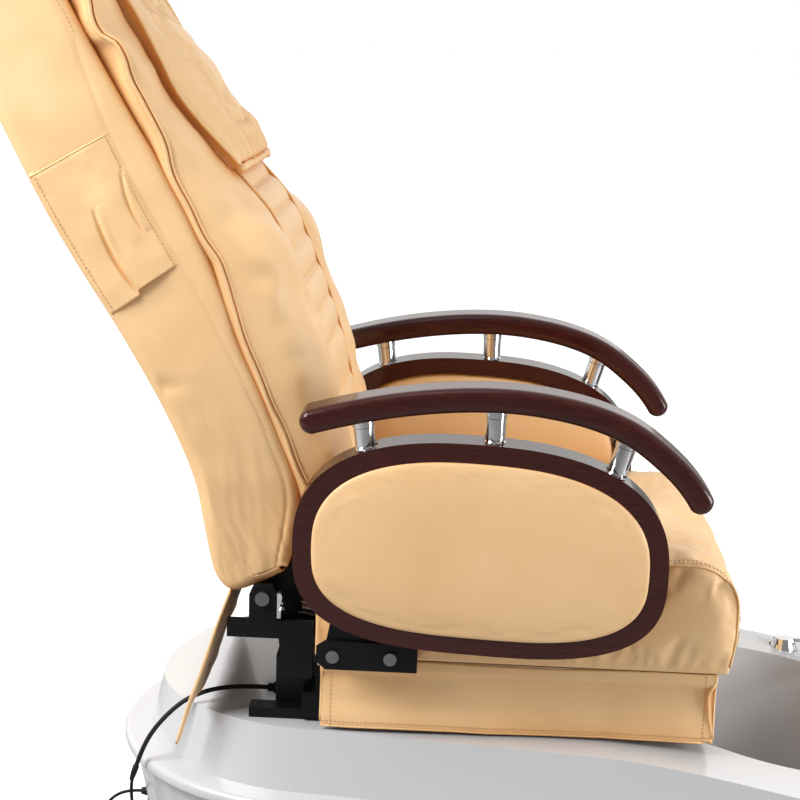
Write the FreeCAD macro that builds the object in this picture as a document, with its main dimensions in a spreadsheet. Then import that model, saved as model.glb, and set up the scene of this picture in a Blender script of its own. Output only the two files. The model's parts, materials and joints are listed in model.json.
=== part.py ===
import FreeCAD, Part
import math
import os
import re

import Sketcher

V = FreeCAD.Vector
DOC = FreeCAD.newDocument("PedicureSpaChair")

# Axes: +Z is up, the chair faces -Y, and its right-hand side is -X.
# The origin is on the floor, at the middle of the whole object's outline.

SIZES = [
    # moulded base, seen from above as two round ends joined by tangent sides
    ("rear_centre_y", 276), ("front_centre_y", -430),
    ("base_foot_z", 12), ("flange_z", 260), ("flange_thick", 22), ("deck_z", 352),
    ("shell_wall", 8), ("floor_rear_r", 270), ("floor_front_r", 332),
    ("under_rear_r", 316), ("under_front_r", 376), ("flange_rear_r", 330), ("flange_front_r", 392),
    ("tier_foot_rear_r", 290), ("tier_foot_front_r", 368), ("tier_top_rear_r", 264),
    ("tier_top_front_r", 346),
    ("tub_rear_y", -290), ("tub_front_y", -450), ("tub_floor_z", 95), ("tub_floor_rear_r", 130),
    ("tub_floor_front_r", 186), ("tub_rim_rear_r", 196), ("tub_rim_front_r", 262),
    ("panel_y", 530), ("panel_wide", 160), ("panel_low_z", 45), ("panel_high_z", 195),
    ("panel_thick", 3),
    # seat slide
    ("rail_x", 215), ("rail_wide", 30), ("rail_high", 16), ("rail_front_y", -80),
    ("rail_rear_y", 380), ("slide_gap", 0.3),
    # seat
    ("cushion_half", 262), ("cushion_front_y", -330), ("cushion_rear_y", 280),
    ("cushion_low_z", 466), ("cushion_top_z", 632), ("skirt_low_z", 359), ("skirt_thick", 2.5),
    ("pan_thick", 13), ("longeron_z", 430), ("longeron_high", 22),
    # recline hinge and back
    ("hinge_y", 358), ("hinge_z", 552), ("back_tilt", 27), ("hinge_bolt_r", 6),
    ("hinge_bore_r", 6.05), ("back_half", 250), ("back_wall", 8),
    ("crank_radius", 95), ("crank_angle", -102), ("motor_pin_y", 100), ("motor_pin_z", 395),
    # armrests
    ("arm_inner_x", 275), ("arm_outer_x", 330), ("oval_y", 46), ("oval_z", 645),
    ("oval_half", 264), ("oval_up", 166), ("oval_down", 141), ("oval_member", 27),
    ("arm_pivot_y", 251), ("arm_pivot_z", 483), ("arm_stud_y", 168), ("arm_bolt_r", 5),
    ("arm_bore_r", 5.05), ("arm_rail_wide", 68), ("arm_rail_thick", 35), ("post_r", 14),
    ("post_spigot_r", 8),
    # massage drive in the back
    ("guide_r", 8), ("guide_bore_r", 8.05), ("guide_x", 120), ("guide_v", 60),
    ("screw_r", 7), ("screw_bore_r", 7.06), ("journal_r", 5), ("journal_bore_r", 5.05),
    # supply lead
    ("lead_r", 2.6), ("sleeve_r", 3.6),
]
SIZE = dict(SIZES)

SHEET = DOC.addObject("Spreadsheet::Sheet", "Sizes")
for row, (alias, value) in enumerate(SIZES, start=1):
    SHEET.set("A%d" % row, alias)
    SHEET.set("B%d" % row, str(value))
    SHEET.setAlias("B%d" % row, alias)
DOC.recompute()

NODES = []


# ---------------------------------------------------------------- helpers

def formula(text):
    """Turns 'deck_z + 4' into the same sum over the sheet's cells."""
    return re.sub(r"[a-z][a-z_]+", lambda word: "Sizes." + word.group()
                  if word.group() in SIZE else word.group(), text)


def worth(text):
    """The number that a formula stands for now."""
    if not isinstance(text, str):
        return float(text)
    return float(SHEET.evalExpression(formula(text)))


def bind(thing, prop, text):
    if isinstance(text, str):
        thing.setExpression(prop, formula(text))
    elif prop.startswith("Placement.Base."):
        base = thing.Placement.Base
        setattr(base, prop[-1], float(text))
        thing.Placement.Base = base
    else:
        setattr(thing, prop, text)


def place(thing, at, axis=None, angle=0):
    """Puts a thing at a point, turned about an axis through that point."""
    if axis is not None:
        thing.Placement = FreeCAD.Placement(V(0, 0, 0), FreeCAD.Rotation(V(*axis), worth(angle)))
        if isinstance(angle, str):
            thing.setExpression("Placement.Rotation.Angle", formula(angle) + " * 1 deg")
    for letter, value in zip("xyz", at):
        bind(thing, "Placement.Base." + letter, value)
    return thing


def node(thing, label):
    """Marks a finished piece, and names it."""
    thing.Label = label
    NODES.append(thing)
    return thing


def block(x, y, z):
    """A box from its limits along X, Y and Z."""
    box = DOC.addObject("Part::Box", "Block")
    for prop, (low, high) in zip(("Length", "Width", "Height"), (x, y, z)):
        bind(box, prop, "(%s) - (%s)" % (high, low))
    return place(box, (x[0], y[0], z[0]))


def rod(radius, length, at, along="z"):
    """A round bar from a point along +X, +Y or +Z."""
    bar = DOC.addObject("Part::Cylinder", "Rod")
    bind(bar, "Radius", radius)
    bind(bar, "Height", length)
    turns = {"x": ((0, 1, 0), 90), "y": ((1, 0, 0), -90), "z": (None, 0)}
    return place(bar, at, *turns[along])


def fuse(*things):
    joined = DOC.addObject("Part::MultiFuse", "Join")
    joined.Shapes = list(things)
    return joined


def cut(base, *tools):
    result = DOC.addObject("Part::Cut", "Cut")
    result.Base = base
    result.Tool = tools[0] if len(tools) == 1 else fuse(*tools)
    return result


def common(*things):
    shared = DOC.addObject("Part::MultiCommon", "Common")
    shared.Shapes = list(things)
    return shared


def shaped(shape, name="Shape"):
    """A piece whose form comes from curves."""
    thing = DOC.addObject("Part::Feature", name)
    thing.Shape = shape
    return thing


def rounded(thing, radius, wanted):
    """Rounds the edges for which wanted(edge) is true."""
    DOC.recompute()
    picked = [i for i, edge in enumerate(thing.Shape.Edges, start=1) if wanted(edge)]
    soft = DOC.addObject("Part::Fillet", "Rounded")
    soft.Base = thing
    soft.Edges = [(i, radius, radius) for i in picked]
    return soft


def side_profile(points, low_x, high_x):
    """A flat YZ outline, given as (y, z) corners, made solid along X."""
    corners = [V(worth(low_x), worth(y), worth(z)) for y, z in points]
    face = Part.Face(Part.makePolygon(corners + corners[:1]))
    return shaped(face.extrude(V(worth(high_x) - worth(low_x), 0, 0)), "Profile")


def outline(rear_y, rear_r, front_y, front_r, z):
    """Two round ends joined by tangent lines, as one wire at height z."""
    slope = (front_r - rear_r) / (rear_y - front_y)
    cos = math.sqrt(1 - slope * slope)

    def corner(side, centre, radius):
        return V(side * radius * cos, centre + radius * slope, z)

    rear_left, rear_right = corner(1, rear_y, rear_r), corner(-1, rear_y, rear_r)
    front_left, front_right = corner(1, front_y, front_r), corner(-1, front_y, front_r)
    return Part.Wire([
        Part.Arc(rear_left, V(0, rear_y + rear_r, z), rear_right).toShape(),
        Part.LineSegment(rear_right, front_right).toShape(),
        Part.Arc(front_right, V(0, front_y - front_r, z), front_left).toShape(),
        Part.LineSegment(front_left, rear_left).toShape(),
    ])


def tapered(low, high, grow=0.0):
    """A solid between two outlines: (rear radius, front radius, z), on the base's own centres."""
    centres = (SIZE["rear_centre_y"], SIZE["front_centre_y"])
    wires = [outline(centres[0], rear + grow, centres[1], front + grow, z)
             for rear, front, z in (low, high)]
    return shaped(Part.makeLoft(wires, True, True), "Tapered")


def bent_path(points):
    """Straight runs joined by tangent arcs, each as large as its runs allow."""
    spots = [V(*p) for p in points]
    edges = []
    radii = []
    start = spots[0]
    for before, here, after in zip(spots, spots[1:], spots[2:]):
        coming = (here - before).normalize()
        going = (after - here).normalize()
        half = coming.getAngle(going) / 2
        setback = 0.45 * min((here - before).Length, (after - here).Length)
        radii.append(setback / math.tan(half))
        first = here - coming * setback
        last = here + going * setback
        inward = (going - coming).normalize()
        middle = here + inward * (radii[-1] / math.cos(half) - radii[-1])
        edges.append(Part.LineSegment(start, first).toShape())
        edges.append(Part.Arc(first, middle, last).toShape())
        start = last
    edges.append(Part.LineSegment(start, spots[-1]).toShape())
    return Part.Wire(edges), radii


def swept(points, radius):
    """A round bar along a bent path: its solid, its path and the bend radii."""
    path, radii = bent_path(points)
    along = V(*points[1]) - V(*points[0])
    section = Part.Wire([Part.makeCircle(radius, V(*points[0]), along)])
    return path.makePipeShell([section], True, False), path, radii


def sketch_on(body, role, name):
    sketch = body.newObject("Sketcher::SketchObject", name)
    plane = [item for item in body.Origin.OriginFeatures if item.Role == role][0]
    sketch.AttachmentSupport = [(plane, "")]
    sketch.MapMode = "FlatFace"
    return sketch


def pin_point(sketch, geometry, which, x, y):
    """Holds one point of a sketch at a place that the sheet decides."""
    for kind, axis, value in (("DistanceX", -2, x), ("DistanceY", -1, y)):
        if worth(value) == 0:
            sketch.addConstraint(Sketcher.Constraint("PointOnObject", geometry, which, axis))
            continue
        number = sketch.addConstraint(
            Sketcher.Constraint(kind, -1, 1, geometry, which, worth(value)))
        if isinstance(value, str):
            sketch.setExpression("Constraints[%d]" % number, formula(value))


def draw_polygon(sketch, corners):
    spots = [V(worth(x), worth(y), 0) for x, y in corners]
    first = sketch.GeometryCount
    for here, there in zip(spots, spots[1:] + spots[:1]):
        sketch.addGeometry(Part.LineSegment(here, there), False)
    count = len(spots)
    for i in range(count):
        sketch.addConstraint(Sketcher.Constraint(
            "Coincident", first + i, 2, first + (i + 1) % count, 1))
    for i, (x, y) in enumerate(corners):
        pin_point(sketch, first + i, 1, x, y)


def draw_circle(sketch, x, y, radius):
    circle = Part.Circle(V(worth(x), worth(y), 0), V(0, 0, 1), worth(radius))
    number = sketch.addGeometry(circle, False)
    pin_point(sketch, number, 3, x, y)
    dimension = sketch.addConstraint(Sketcher.Constraint("Radius", number, worth(radius)))
    if isinstance(radius, str):
        sketch.setExpression("Constraints[%d]" % dimension, formula(radius))


def rectangle(low_x, high_x, low_y, high_y):
    return [(low_x, low_y), (high_x, low_y), (high_x, high_y), (low_x, high_y)]


def plate(label, role, outer, thickness, at=(0, 0, 0), holes=(), axis=None, angle=0):
    """A padded sketch with round holes through it."""
    body = DOC.addObject("PartDesign::Body", "Body_" + label)
    sketch = sketch_on(body, role, "Outline_" + label)
    draw_polygon(sketch, outer)
    for hole in holes:
        draw_circle(sketch, *hole)
    pad = body.newObject("PartDesign::Pad", "Pad_" + label)
    pad.Profile = sketch
    bind(pad, "Length", thickness)
    sketch.Visibility = False
    return place(body, at, axis, angle)


def turned(label, half_outline, at=(0, 0, 0), axis=None, angle=0):
    """A lathe-turned piece about its own Z axis, from (radius, height) corners."""
    body = DOC.addObject("PartDesign::Body", "Body_" + label)
    sketch = sketch_on(body, "XZ_Plane", "Section_" + label)
    draw_polygon(sketch, half_outline)
    turn = body.newObject("PartDesign::Revolution", "Turn_" + label)
    turn.Profile = sketch
    turn.ReferenceAxis = (sketch, ["V_Axis"])
    turn.Angle = 360
    return place(body, at, axis, angle)


def mirrored(thing):
    """The same piece on the other side of the chair."""
    twin = DOC.addObject("Part::Mirroring", "Twin")
    twin.Source = thing
    twin.Normal = V(1, 0, 0)
    twin.Base = V(0, 0, 0)
    return twin


def gather(*things):
    """Several separate solids that share one node."""
    group = DOC.addObject("Part::Compound", "Group")
    group.Links = list(things)
    return group


# ---------------------------------------------------------------- moulded base

# Places on the tub's sloping end walls: the point (y, z) and the wall's lean in degrees.
JET = (-658.9, 175, 16.0)
LAMP = (-132.6, 205, -14.0)


def on_wall(thing, spot, depth=0.0):
    """Turns a piece's own Z to face into the tub, and moves it to a spot on the wall."""
    y, z, lean = spot
    side = 1 if lean > 0 else -1
    into = V(0, side * math.cos(math.radians(lean)), math.sin(math.radians(abs(lean))))
    turn = FreeCAD.Rotation(V(0, 0, 1), into)
    thing.Placement = FreeCAD.Placement(V(0, y, z) + into * depth, turn)
    return thing


def build_base():
    lower = ((SIZE["floor_rear_r"], SIZE["floor_front_r"], SIZE["base_foot_z"]),
             (SIZE["under_rear_r"], SIZE["under_front_r"], SIZE["flange_z"] - 12))
    tier = ((SIZE["tier_foot_rear_r"], SIZE["tier_foot_front_r"], SIZE["flange_z"] - 16),
            (SIZE["tier_top_rear_r"], SIZE["tier_top_front_r"], SIZE["deck_z"] + 8))
    flange_low = SIZE["flange_z"] - SIZE["flange_thick"]
    slab = outline(SIZE["rear_centre_y"], SIZE["flange_rear_r"], SIZE["front_centre_y"],
                   SIZE["flange_front_r"], flange_low)
    slab = Part.Face(slab).extrude(V(0, 0, SIZE["flange_thick"]))
    slab = slab.makeFillet(9, [edge for edge in slab.Edges
                               if edge.BoundBox.ZLength < 0.01])
    flange = shaped(slab, "Flange")

    # The deck is level under the seat, and the rim falls in a curve towards the front.
    def rim_curve(drop):
        deck = SIZE["deck_z"] - drop
        front = Part.BezierCurve()
        front.setPoles([V(0, -120, deck), V(0, -330, deck), V(0, -500, 290 - drop),
                        V(0, -880, 272 - drop)])
        rear = Part.BezierCurve()
        rear.setPoles([V(0, 400, deck), V(0, 480, deck), V(0, 520, 346 - drop),
                       V(0, 620, 334 - drop)])
        lines = [Part.LineSegment(V(0, -120, deck), V(0, 400, deck)),
                 Part.LineSegment(V(0, 620, 334 - drop), V(0, 620, 470)),
                 Part.LineSegment(V(0, 620, 470), V(0, -880, 470)),
                 Part.LineSegment(V(0, -880, 470), V(0, -880, 272 - drop))]
        edges = [front.toShape(), lines[0].toShape(), rear.toShape()]
        edges += [line.toShape() for line in lines[1:]]
        face = Part.Face(Part.Wire(edges))
        face.translate(V(-500, 0, 0))
        return shaped(face.extrude(V(1000, 0, 0)), "RimCutter")

    def tub(grow, low_z):
        wires = [outline(SIZE["tub_rear_y"], SIZE["tub_floor_rear_r"] + grow,
                         SIZE["tub_front_y"], SIZE["tub_floor_front_r"] + grow, low_z),
                 outline(SIZE["tub_rear_y"], SIZE["tub_rim_rear_r"] + grow,
                         SIZE["tub_front_y"], SIZE["tub_rim_front_r"] + grow,
                         SIZE["deck_z"] + 8)]
        return shaped(Part.makeLoft(wires, True, True), "Tub")

    wall = SIZE["shell_wall"]
    hollow = fuse(tapered((lower[0][0], lower[0][1], 0), lower[1], -wall),
                  tapered(tier[0], tier[1], -wall))
    hollow = cut(hollow, rim_curve(wall), tub(wall, SIZE["tub_floor_z"] - wall))
    panel_frame = common(block((-95, 95), ("panel_y - 14", "panel_y"),
                               ("panel_low_z - 15", "panel_high_z + 15")), tapered(*lower))
    body = cut(fuse(tapered(*lower), flange, tapered(*tier)), rim_curve(0), hollow)
    body = cut(fuse(body, panel_frame), tub(0, SIZE["tub_floor_z"]))
    recess = block((-85, 85), ("panel_y", "panel_y + 100"),
                   ("panel_low_z - 6", "panel_high_z + 6"))
    window = block((-64, 64), ("panel_y - 30", "panel_y + 5"),
                   ("panel_low_z + 16", "panel_high_z - 16"))
    bores = [rod(22.1, 60, (0, "tub_front_y", 60)),
             on_wall(rod(30.1, 60, (0, 0, 0)), JET, -30),
             on_wall(rod(17.1, 60, (0, 0, 0)), LAMP, -30),
             rod(12.1, 80, (298, -510, 240)), rod(25, 60, (298, -510, 303)),
             rod(9.1, 80, (250, -605, 240)), rod(20, 60, (250, -605, 287))]
    screw_spots = [(x, z) for x in (-70, 70) for z in (55, 185)]
    bores += [rod(2.5, 12, (x, "panel_y + panel_thick - 12", z), "y") for x, z in screw_spots]
    node(cut(body, recess, window, *bores), "base_shell")

    half = "panel_wide / 2"
    panel = plate("service_panel", "XZ_Plane",
                  rectangle("-(%s)" % half, half, "panel_low_z", "panel_high_z"), "panel_thick",
                  at=(0, "panel_y + panel_thick", 0),
                  holes=[(x, z, 2.6) for x, z in screw_spots]
                  + [(0, 150, 10.2), (48, 150, 10.2), (36, 90, 13.9)])
    node(panel, "service_panel")
    screws = [fuse(rod(2.5, 12, (x, "panel_y + panel_thick - 12", z), "y"),
                   rod(4.5, 2.5, (x, "panel_y + panel_thick", z), "y"))
              for x, z in screw_spots]
    node(gather(*screws), "panel_screws")

    # a welded ladder stands inside the shell and carries the deck's load to the feet
    members = [block((x - 15, x + 15), (-640, 470), (12, 42)) for x in (-150, 150)]
    members += [block((-150, 150), (y - 15, y + 15), (12, 42)) for y in (-625, -80, 455)]
    members += [block((x - 15, x + 15), (y - 15, y + 15), (42, "deck_z - shell_wall"))
                for x in (-150, 150) for y in (10, 340)]
    node(fuse(*members), "base_frame")
    feet = [turned("foot%d" % i, [(0, 0), (24, 0), (24, 6), (14, 12), (0, 12)], at=(x, y, 0))
            for i, (x, y) in enumerate([(-150, -610), (150, -610), (-150, 440), (150, 440)])]
    node(gather(*feet), "levelling_feet")


def build_tub_fittings():
    front_y = SIZE["tub_front_y"]
    centre = (0, "tub_front_y", 0)
    node(turned("drain", [(9, 99), (34, 99), (34, 95), (22, 95), (22, 76), (9, 76)], at=centre),
         "tub_drain")
    node(turned("stopper", [(0, 80), (4, 80), (4, 99.5), (26, 99.5), (26, 103), (8, 110),
                            (0, 110)], at=centre), "drain_stopper")
    route = [(0, front_y, 60), (0, -120, 60), (0, -60, 90), (36, 0, 90), (36, 560, 90)]
    outer = [rod(20, 32, (0, front_y, 44)), shaped(swept(route, 13.6)[0]),
             rod(14, 21, (36, 539, 90), "y")]
    inner = [rod(16, 40, (0, front_y, 50)), shaped(swept(route, 11)[0]),
             rod(11, 20, (36, 550, 90), "y")]
    node(cut(fuse(*outer), fuse(*inner)), "drain_pipe")

    housing = cut(fuse(rod(30, 50, (0, 0, -40)), rod(42, 4, (0, 0, 6))),
                  rod(24, 60, (0, 0, -36)), rod(4.05, 20, (0, 0, -45)))
    node(on_wall(housing, JET), "jet_housing")
    vents = [rod(3, 20, (14 * math.cos(a), 14 * math.sin(a), 5))
             for a in [math.radians(60 * i) for i in range(6)]]
    vents += [rod(3, 20, (27 * math.cos(a), 27 * math.sin(a), 5))
              for a in [math.radians(36 * i) for i in range(10)]]
    cover = turned("jetcover", [(0, 10), (38, 10), (38, 13), (28, 17), (0, 19)])
    node(on_wall(cut(cover, *vents), JET), "jet_cover")
    blades = []
    for i in range(4):
        blade = block((0, 21), (0, 3), (0, 22))
        blade.Placement = FreeCAD.Placement(V(0, 0, -30), FreeCAD.Rotation(V(0, 0, 1), 90 * i))
        blades.append(blade)
    impeller = fuse(rod(8, 24, (0, 0, -31)), rod(4, 26, (0, 0, -56)), *blades)
    node(on_wall(impeller, JET), "jet_impeller")
    motor = cut(rod(34, 58, (0, 0, -98)), rod(4.05, 20, (0, 0, -58)))
    node(on_wall(motor, JET), "jet_motor")
    node(on_wall(turned("lamp", [(0, -36), (17, -36), (17, 2.6), (25, 2.6), (24, 5), (14, 8),
                                 (0, 9)]), LAMP), "tub_lamp")

    node(turned("mixer", [(0, 262), (12, 262), (12, 303), (24, 303), (24, 308), (20, 316),
                          (0, 316)], at=(298, -510, 0)), "mixer_body")
    knob = fuse(turned("knob", [(0, 316.3), (20, 316.3), (17, 326), (0, 328)],
                       at=(298, -510, 0)), block((293, 303), (-552, -515), (319, 325)))
    node(knob, "mixer_lever")
    spout = fuse(rod(9, 40, (250, -605, 250)), rod(19, 5, (250, -605, 287)),
                 rod(12, 40, (250, -605, 290)))
    nose = rod(10, 92, (0, 0, 0))
    nose.Placement = FreeCAD.Placement(V(250, -605, 320),
                                       FreeCAD.Rotation(V(0, 0, 1), V(-0.86, 0.51, -0.12)))
    node(fuse(spout, nose), "tub_spout")
    inlets = [cut(fuse(rod(13, 6, (x, "panel_y + panel_thick", 150), "y"),
                       rod(10, 42, (x, "panel_y - 12", 150), "y")),
                  rod(6, 60, (x, "panel_y - 20", 150), "y")) for x in (0, 48)]
    node(gather(*inlets), "water_inlets")
    node(turned("pedestal", [(0, 95), (46, 95), (46, 101), (18, 107), (18, 318), (0, 318)],
                at=(0, -575, 0)), "footrest_post")
    pad = rounded(place(block((-105, 105), (-45, 45), (0, 32)), (-105, -45, 0)), 12,
                  lambda edge: True)
    pad.Placement = FreeCAD.Placement(V(0, -575, 323), FreeCAD.Rotation(V(1, 0, 0), 6))
    node(pad, "footrest_pad")


def build_seat_drive():
    rails = [plate("rail%d" % i, "XY_Plane",
                   rectangle("%s - rail_wide / 2" % x, "%s + rail_wide / 2" % x,
                             "rail_front_y", "rail_rear_y"), "rail_high", at=(0, 0, "deck_z"))
             for i, x in enumerate(("-rail_x", "rail_x"))]
    node(gather(*rails), "seat_rails")
    motor = cut(fuse(block((92, 158), (272, 340), ("deck_z", 404)),
                     block((105, 145), (-118, -98), ("deck_z", 404))),
                rod("journal_bore_r", 412, (125, -120, 386), "y"))
    node(motor, "slide_motor")
    screw = fuse(rod("screw_r", 369.4, (125, -97.7, 386), "y"),
                 rod("journal_r", 405, (125, -115, 386), "y"))
    node(screw, "slide_screw")

    box = plate("box", "XY_Plane", rectangle(-188, -96, 288, 345), 82, at=(0, 0, "deck_z"))
    DOC.recompute()
    node(rounded(box, 4, lambda edge: edge.BoundBox.ZLength > 50), "power_box")
    node(turned("gland", [(0, 0), (9, 0), (9, 6), (6.5, 7), (6.5, 15), (0, 15)],
                at=(-150, 345, 368), axis=(1, 0, 0), angle=-90), "box_gland")


# ---------------------------------------------------------------- supply lead

def tube(points, radius, label):
    solid, path, radii = swept(points, radius)
    expected = math.pi * radius ** 2 * path.Length
    print("%s: length %.1f, radii %s, volume ratio %.4f" % (
        label, path.Length, [round(r) for r in radii], solid.Volume / expected))
    node(shaped(solid, "Tube"), label)


def build_lead():
    sleeve = [(-150, 360, 368), (-150, 388, 368), (-161, 420, 370), (-180, 452, 370),
              (-193, 484, 358), (-200, 511, 334), (-203, 534, 304), (-203, 549, 271),
              (-202, 557, 246)]
    tube(sleeve, SIZE["sleeve_r"], "lead_sleeve")
    lead = [(-202, 557, 246), (-201.2, 563.4, 226), (-200, 563, 195), (-196, 560, 164),
            (-186, 566, 132), (-168, 582, 102), (-142, 606, 82), (-110, 628, 74),
            (-80, 642, 82), (-58, 640, 104), (-46, 622, 124), (-40, 598, 132),
            (-40, 578, 132)]
    tube(lead, SIZE["lead_r"], "power_lead")
    socket = cut(block((-56, -24), ("panel_y + panel_thick", "panel_y + panel_thick + 14"),
                       (118, 146)),
                 block((-50, -30), ("panel_y + panel_thick + 4", 560), (125, 139)))
    node(socket, "lead_socket")
    plug = fuse(block((-49.7, -30.3), ("panel_y + panel_thick + 4.3", 550), (125.3, 138.7)),
                block((-53, -27), (547.3, 566), (120, 144)),
                place(turned("boot", [(0, 0), (8, 0), (5.5, 12), (0, 12)]), (-40, 566, 132),
                      (1, 0, 0), -90))
    node(plug, "lead_plug")


# ---------------------------------------------------------------- seat

ARM_HOLES = [("arm_pivot_y", "arm_pivot_z"), ("arm_stud_y", "arm_pivot_z")]


def build_seat():
    members = []
    for side in (-1, 1):
        low, high = sorted((side * 193, side * 237))
        runner = cut(block((low, high), (-40, 300), (357, 398)),
                     block((side * 215 - 15.4, side * 215 + 15.4), (-50, 310),
                           (350, "deck_z + rail_high + slide_gap")))
        low, high = sorted((side * 222, side * 250))
        members += [runner, block((low, high), (-250, 326), ("longeron_z", 452))]
        low, high = sorted((side * 200, side * 236))
        members += [block((low, high), (y, y + 18), (397, 452)) for y in (-30, 262)]
        low, high = sorted((side * 246, side * 262))
        plate_yz = [(284, 430), (326, 430), (334, 490), (410, 490), (410, 517), (378, 517),
                    (378, 556), (372, 570), (344, 570), (338, 556), (338, 517), (284, 517)]
        cheek = side_profile(plate_yz, min(side * 251, side * 262), max(side * 251, side * 262))
        members += [cheek, block((low, high), (284, 326), (430, 446))]
    members += [block((-226, 226), (y, y + 20), ("longeron_z", 452)) for y in (-250, 60)]
    members.append(block((-200, 200), (228, 246), (384, 402)))
    members += [block((side * 190 - 10, side * 190 + 10), (228, 246), (384, 452))
                for side in (-1, 1)]
    members += [block((low, high), (228, 246), (430, 452))
                for low, high in ((-230, -180), (180, 230))]
    ears = [block((x, x + 8), (62, 114), (380, 452)) for x in (-34, 26)]
    nut = block((110, 140), (60, 92), (374, 452))
    bores = [rod("hinge_bore_r", 600, (-300, "hinge_y", "hinge_z"), "x"),
             rod(5.06, 100, (-50, "motor_pin_y", "motor_pin_z"), "x"),
             rod("screw_bore_r", 100, (125, 50, 386), "y"), rod(9, 40, (125, 220, 386), "y")]
    node(cut(fuse(*members, *ears, nut), *bores), "seat_frame")
    pin = fuse(rod(5, 68, (-34, "motor_pin_y", "motor_pin_z"), "x"),
               rod(8, 4, (34, "motor_pin_y", "motor_pin_z"), "x"),
               rod(8, 4, (-38, "motor_pin_y", "motor_pin_z"), "x"))
    node(pin, "actuator_pin")
    bolt = fuse(rod("hinge_bolt_r", 37, (225, "hinge_y", "hinge_z"), "x"),
                rod(10.5, 8, (262, "hinge_y", "hinge_z"), "x"))
    node(gather(mirrored(bolt), bolt), "hinge_bolts")

    pan = plate("pan", "XY_Plane", rectangle(-262, 262, -304, 276), "pan_thick",
                at=(0, 0, 452))
    node(pan, "seat_pan")
    cushion = block(("-cushion_half", "cushion_half"), ("cushion_front_y", "cushion_rear_y"),
                    ("cushion_low_z", "cushion_top_z"))
    relief = [block(sorted((side * 195, side * 270)), (131, 229), (460, 468.3))
              for side in (-1, 1)]
    soft = rounded(cushion, 26, lambda edge: edge.BoundBox.ZMin > 600)
    node(cut(soft, *relief), "seat_cushion")
    inner = block((-262, 262), (-304, 275), (300, 500))
    skirt = cut(block(("-262 - skirt_thick", "262 + skirt_thick"), ("-304 - skirt_thick", 274),
                      ("skirt_low_z", 464)), inner)
    node(skirt, "seat_skirt")
    flap = side_profile([(410, 514), (413, 514), (463, 376), (460, 376)], -258, 258)
    node(flap, "rear_flap")

    brackets = []
    for side in (-1, 1):
        web = block(sorted((side * 200, side * 298)), (135, 225), (465, 468))
        bar = [(129, 462), (262, 462), (275, 474), (275, 496), (262, 505), (129, 505)]
        flat = side_profile(bar, *sorted((side * 297, side * 303)))
        holes = [rod("arm_bolt_r + 0.06", 20, (side * 300 - 10, y, z), "x")
                 for y, z in ARM_HOLES]
        brackets.append(cut(fuse(web, flat), *holes))
    node(gather(*brackets), "arm_brackets")
    bolts = []
    for side in (-1, 1):
        for y, z in ARM_HOLES:
            bolts.append(fuse(rod("arm_bolt_r", 26, (min(side * 283, side * 309), y, z), "x"),
                              rod(9.5, 6, (min(side * 303, side * 309), y, z), "x"),
                              rod(8.5, 6, (min(side * 283, side * 289), y, z), "x")))
    node(gather(*bolts), "arm_bolts")


# ---------------------------------------------------------------- recline drive

def crank_point(swing=0.0):
    angle = math.radians(SIZE["crank_angle"] + swing)
    return (SIZE["hinge_y"] - SIZE["crank_radius"] * math.cos(angle),
            SIZE["hinge_z"] + SIZE["crank_radius"] * math.sin(angle))


def build_recline_drive():
    crank_y, crank_z = crank_point()
    rise = crank_z - SIZE["motor_pin_z"]
    reach = crank_y - SIZE["motor_pin_y"]
    span = math.hypot(rise, reach)
    along = FreeCAD.Placement(V(0, SIZE["motor_pin_y"], SIZE["motor_pin_z"]),
                              FreeCAD.Rotation(V(1, 0, 0), math.degrees(math.atan2(rise, reach))))
    housing = fuse(block((-22, 22), (-16, 34), (-20, 20)), rod(17, 116, (0, 34, 0), "y"))
    housing = cut(housing, rod(5.05, 60, (-30, 0, 0), "x"), rod(9.06, 130, (0, 24, 0), "y"))
    housing.Placement = along
    node(housing, "recline_motor")
    stem = fuse(rod(9, span - 81, (0, 65, 0), "y"),
                block((-9, 9), (span - 20, span + 14), (-15, 15)))
    slot = fuse(block((-12, 12), (span - 6, span + 6), (-4, 4)),
                rod(6, 24, (-12, span, 4), "x"), rod(6, 24, (-12, span, -4), "x"))
    stem = cut(stem, slot)
    stem.Placement = along
    node(stem, "recline_rod")
    for name, swing in (("upright", -6), ("halfway", 12), ("reclined", 24)):
        y, z = crank_point(swing)
        length = math.hypot(z - SIZE["motor_pin_z"], y - SIZE["motor_pin_y"])
        lean = math.degrees(math.atan2(z - SIZE["motor_pin_z"], y - SIZE["motor_pin_y"]))
        print("drive %s: rod %.1f mm, tilt %.2f deg" % (
            name, length - span, lean - math.degrees(math.atan2(rise, reach))))


# ---------------------------------------------------------------- back
# Back pieces are drawn upright about the recline hinge: z runs up the back and -y is its face.

def lean_back(thing):
    thing.Placement = FreeCAD.Placement(V(0, SIZE["hinge_y"], SIZE["hinge_z"]),
                                        FreeCAD.Rotation(V(1, 0, 0), -SIZE["back_tilt"]))
    thing.setExpression("Placement.Base.y", "Sizes.hinge_y")
    thing.setExpression("Placement.Base.z", "Sizes.hinge_z")
    return thing


def back_profile(points, low_x, high_x):
    """An outline given as (height up the back, distance in front of the hinge plane)."""
    return side_profile([(-front, up) for up, front in points], low_x, high_x)


SHELL_REAR = [(30, -50), (70, -49), (130, -33), (200, -15), (300, -9), (420, -14), (560, -27),
              (660, -32), (800, -31), (940, -26), (990, -16), (1012, 6)]
SHELL_FRONT = [(1022, 50), (1018, 92), (980, 112), (879, 120), (479, 120), (120, 118),
               (20, 45)]


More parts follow.
